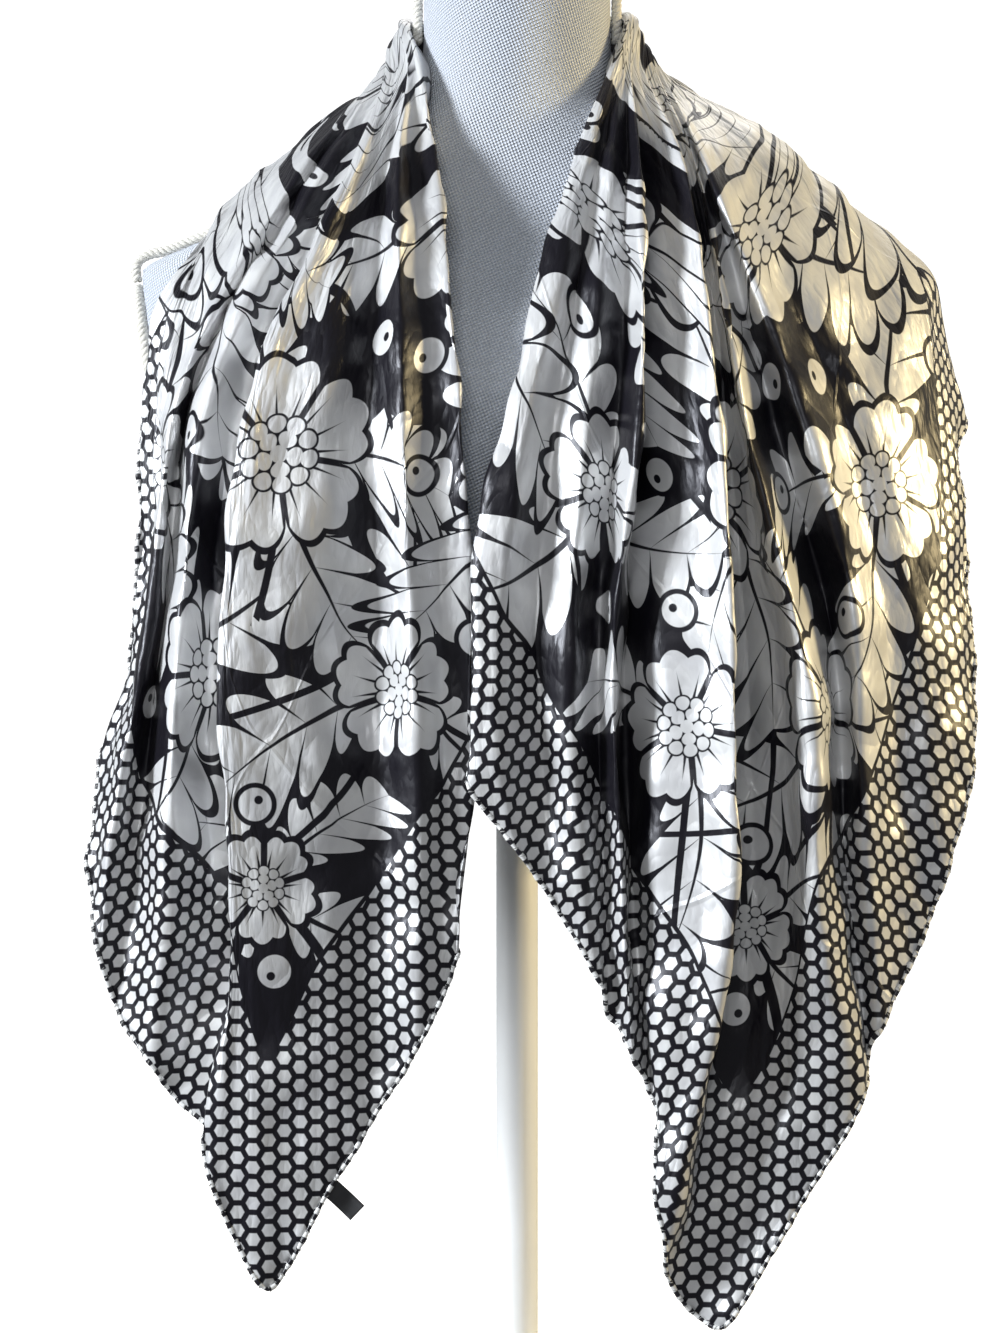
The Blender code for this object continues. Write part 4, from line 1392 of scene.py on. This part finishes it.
def makeBraids(material):
    x = form["neckHalf"] + braidLook["lift"] + form["seam"]
    neck = np.array([(x, 0, braidLook["neckFrom"]), (x, 0, form["top"] - 0.001)])
    ring = []
    for angle in np.linspace(0, 2 * math.pi, 120, endpoint=False):
        z = form["armholeZ"] + braidLook["ringTall"] * math.sin(angle)
        x = armholeX(z) + braidLook["ring"] + form["seam"]
        ring.append((x, braidLook["ringDeep"] * math.cos(angle), z))
    cord, cordLead = braidLook["cord"], braidLook["cordLead"]
    made = []
    for sideName, side in (("left", -1), ("right", 1)):
        for part, path, radius, lead, closed in (
            ("neck", neck, cord, cordLead, False),
            ("shoulder", shoulderPath(), cord, cordLead, False),
            ("armhole", np.array(ring), braidLook["ring"], braidLook["ringLead"], True),
        ):
            path = path * (side, 1, 1)
            rope = ropePiece(f"rope_{part}_{sideName}", path, radius, lead, closed, material)
            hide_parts(f"braid_{part}_{sideName}")
            made.append(rope)
    return made


def makeStand(material):
    low = form["top"] + form["seam"]
    under = form["bottom"] - form["seam"]
    high = form["baseHeight"]
    profiles = {
        "form_neck_cap": ((0.0, low), (0.046, low), (0.0478, low + 0.002), (0.0470, low + 0.005),
                          (0.036, low + 0.0075), (0.018, low + 0.0087), (0.0, low + 0.009)),
        "stand_collar": ((0.0, under - 0.024), (0.0150, under - 0.024), (0.0165, under - 0.022),
                         (0.0165, under - 0.006), (0.0300, under - 0.003), (0.0300, under), (0.0, under)),
        "stand_pole": ((0.0, high + 0.0223), (form["pole"], high + 0.0223),
                       (form["pole"], form["bottom"] - 0.0246), (0.0, form["bottom"] - 0.0246)),
        "stand_base": ((0.0, 0.0), (form["baseRadius"] - 0.003, 0.0), (form["baseRadius"], 0.003),
                       (form["baseRadius"], 0.009), (form["baseRadius"] - 0.004, high - 0.001),
                       (0.050, high + 0.002), (0.024, high + 0.008), (0.0165, high + 0.014),
                       (0.0155, high + 0.022), (0.0, high + 0.022)),
    }
    made = []
    for node, profile in profiles.items():
        piece = turnedPiece(node + "_turned", profile, 96, material)
        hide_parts(node)
        made.append(piece)
    return made


def makeHem(name, grid, material, thread):
    # the rolled hem along the free edge, with its whipped stitches
    edge = grid[:, -1]
    beyond = unit(edge - grid[:, -4]) * hemLook["beyond"]
    path = evenly(edge + beyond, hemLook["spacing"])[0]
    at = np.linspace(0, lengthAlong(edge)[-1], len(path))
    wobble = 1 + sum(share * np.sin(at * 2 * math.pi / wave) for share, wave in hemLook["wobbles"])
    around = hemLook["around"]
    points, faces = tubeMesh(path, hemLook["radius"] * wobble, around)
    hem = newPiece(name, points, faces, material)
    addPlaces(hem, "clothPlace", np.repeat(at, around), np.zeros(len(points)))
    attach(hem, "root")
    sides, lifts = framesAlong(path)
    ahead = unit(np.gradient(path, axis=0))
    step = max(1, round(hemLook["stitchGap"] / hemLook["spacing"]))
    bend = np.linspace(-1.1, 1.1, 5)[:, None]
    parts = []
    for k in range(step, len(path) - step, step):
        slant = ahead[k] * bend * hemLook["stitchLength"] * 0.3
        for face in (1, -1):
            out = np.cos(bend) * -face * np.sign(lifts[k][1] or 1) * lifts[k] + np.sin(bend) * sides[k]
            run = path[k] + out * hemLook["radius"] * hemLook["stitchReach"] + slant
            parts.append(tubeMesh(run, hemLook["stitchRadius"], 5))
    stitches = newPiece(name + "_stitches", *joined(parts), thread)
    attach(stitches, "root")
    return hem, stitches


def makeLabel(material):
    root = np.array(charted(*labelLook["root"]))
    along = unit(np.array(labelLook["along"]))
    across = np.array(labelLook["across"])
    across = unit(across - along * across.dot(along))
    length, width = labelLook["length"], labelLook["width"]
    rows, columns = labelLook["rows"], labelLook["columns"]
    share = np.linspace(0, 1, rows)[:, None, None]
    aside = np.linspace(-0.5, 0.5, columns)[None, :, None]
    back = labelLook["bow"] * np.sin(math.pi * share) + labelLook["bend"] * share * share
    back = back - labelLook["curl"] * (2 * aside) ** 2 * share
    grid = root + along * length * share + across * width * aside + back * (0, 1, 0)
    places = {"clothPlace": (
        np.repeat(np.linspace(0, length, rows)[:, None], columns, axis=1),
        np.repeat(np.linspace(0, width, columns)[None], rows, axis=0),
    )}
    label = sheetPiece("label_blank_tape", grid, places, material, False)
    label.modifiers["wall"].thickness = labelLook["wall"]
    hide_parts("label")
    return label


torso = makeTorso(canvasMaterial())
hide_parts("form_torso")
braids = makeBraids(braidMaterial())
stand = makeStand(paintMaterial("stand_white_paint", (0.95, 0.95, 0.94), 0.42))
armholePaint = paintMaterial("armhole_plate_paint", (0.78, 0.79, 0.80), 0.42)
for node in ("armhole_plate_left", "armhole_plate_right"):
    bpy.data.objects[node].material_slots[0].material = armholePaint
print("form, braids and stand made")

satinBorder = satinMaterial("satin_border", (), True)
satinBand = satinMaterial("satin_band", sprayMotifs(bandSprays), False)
hemSatin = hemMaterial()
thread = threadMaterial()
leftGrid, leftPlaces = frontCloth(leftFolds, -1, leftCreases)
rightGrid, rightPlaces = frontCloth(rightFolds, 1, rightCreases)
bandGrid, bandPlaces = bandCloth()
print("cloth areas:", [round(sheetArea(grid), 4) for grid in (leftGrid, rightGrid, bandGrid)])
frontLeft = sheetPiece("satin_front_left", leftGrid, leftPlaces, satinBorder, True)
printTiles(frontLeft, leftPlaces, sprayMotifs(leftSprays), satinBorder)
frontRight = sheetPiece("satin_front_right", rightGrid, rightPlaces, satinBorder, False)
printTiles(frontRight, rightPlaces, sprayMotifs(rightSprays), satinBorder)
neckBand = sheetPiece("satin_neck_band", bandGrid, bandPlaces, satinBand, False)
label = makeLabel(tapeMaterial())
hems = {
    side: makeHem(f"rolled_hem_{side}", grid, hemSatin, thread)
    for side, grid in (("left", leftGrid), ("right", rightGrid))
}
print("cloth, hems and label made")

for piece, node in (
    (frontLeft, "scarf_front_left"), (frontRight, "scarf_front_right"), (neckBand, "scarf_neck_roll")
):
    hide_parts(node)
for piece in (torso, *braids, *stand, label, frontLeft, frontRight, neckBand):
    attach(piece, "root")

sheetArea(leftGrid)
sheetArea(rightGrid)
sheetArea(bandGrid)

Lamp = namedtuple("Lamp", "name place aim size watts colour")

stage = {
    "white": (0.9, 0.9, 0.9, 1.0),
    "sky": (0.96, 0.98, 1.0, 1.0),
    "wallRadius": 9.0,
    "bend": 2.5,
    "wallTop": 10.0,
    "around": 72,
    "worldStrength": 0.22,
    "glow": 1.0,
    "lights": table(Lamp, (
        ("cool_window", (-2.2, -1.05, 1.10), (0.0, -0.08, 0.42), 0.55, 92.0, (0.90, 0.95, 1.0)),
        ("front_soft", (-0.4, -2.5, 1.5), (0.0, 0.0, 0.40), 0.8, 13.0, (0.96, 0.98, 1.0)),
        ("warm_lamp", (1.55, -0.09, 0.98), (0.14, -0.08, 0.52), 0.32, 24.0, (1.0, 0.80, 0.42)),
        ("top_back", (0.3, 1.4, 2.0), (0.0, 0.0, 0.5), 1.2, 12.0, (1.0, 0.98, 0.95)),
    )),
}


def makeStage():
    # a round floor that curves up into a wall on every side
    sockets = {
        "Base Color": stage["white"],
        "Roughness": 0.9,
        "Emission Color": (1.0, 1.0, 1.0, 1.0),
        "Emission Strength": stage["glow"],
    }
    white = newMaterial("stage_white", sockets)[0]
    bend = stage["bend"]
    start = stage["wallRadius"] - bend
    profile = [(0.001, 0.0), (start, 0.0)]
    for angle in np.linspace(0, math.pi / 2, 24)[1:]:
        profile.append((start + bend * math.sin(angle), bend * (1 - math.cos(angle))))
    profile.append((stage["wallRadius"], stage["wallTop"]))
    points = [
        (radius * math.cos(turn), radius * math.sin(turn), z - 0.0005)
        for turn in np.linspace(0, 2 * math.pi, stage["around"], endpoint=False)
        for radius, z in profile
    ]
    sweep = newPiece("stage_sweep", points, gridFaces(stage["around"], len(profile), True), white)
    sweep.visible_diffuse = False
    sweep.visible_glossy = False


def makeLights():
    for lamp in stage["lights"]:
        data = bpy.data.lights.new(lamp.name, "AREA")
        data.size = lamp.size
        data.energy = lamp.watts
        data.color = lamp.colour
        piece = bpy.data.objects.new(lamp.name, data)
        piece.location = lamp.place
        way = Vector(lamp.aim) - Vector(lamp.place)
        piece.rotation_euler = way.to_track_quat("-Z", "Y").to_euler()
        bpy.context.scene.collection.objects.link(piece)
    world = bpy.data.worlds.new("soft_white")
    bpy.context.scene.world = world
    world.use_nodes = True
    background = world.node_tree.nodes["Background"]
    background.inputs["Color"].default_value = stage["sky"]
    background.inputs["Strength"].default_value = stage["worldStrength"]


def makeCamera():
    data = bpy.data.cameras.new("photo_camera")
    distance = chart["depth"] - chart["eye"]
    data.sensor_width = 36
    data.lens = data.sensor_width * distance / (chart["rows"] * chart["step"])
    camera = bpy.data.objects.new("photo_camera", data)
    camera.location = (chart["x"], chart["eye"], chart["z"])
    camera.rotation_euler = (math.radians(90), 0, 0)
    bpy.context.scene.collection.objects.link(camera)
    bpy.context.scene.camera = camera


makeStage()
makeLights()
makeCamera()
bpy.context.scene.view_settings.view_transform = "Standard"
print("stage, light and camera set")
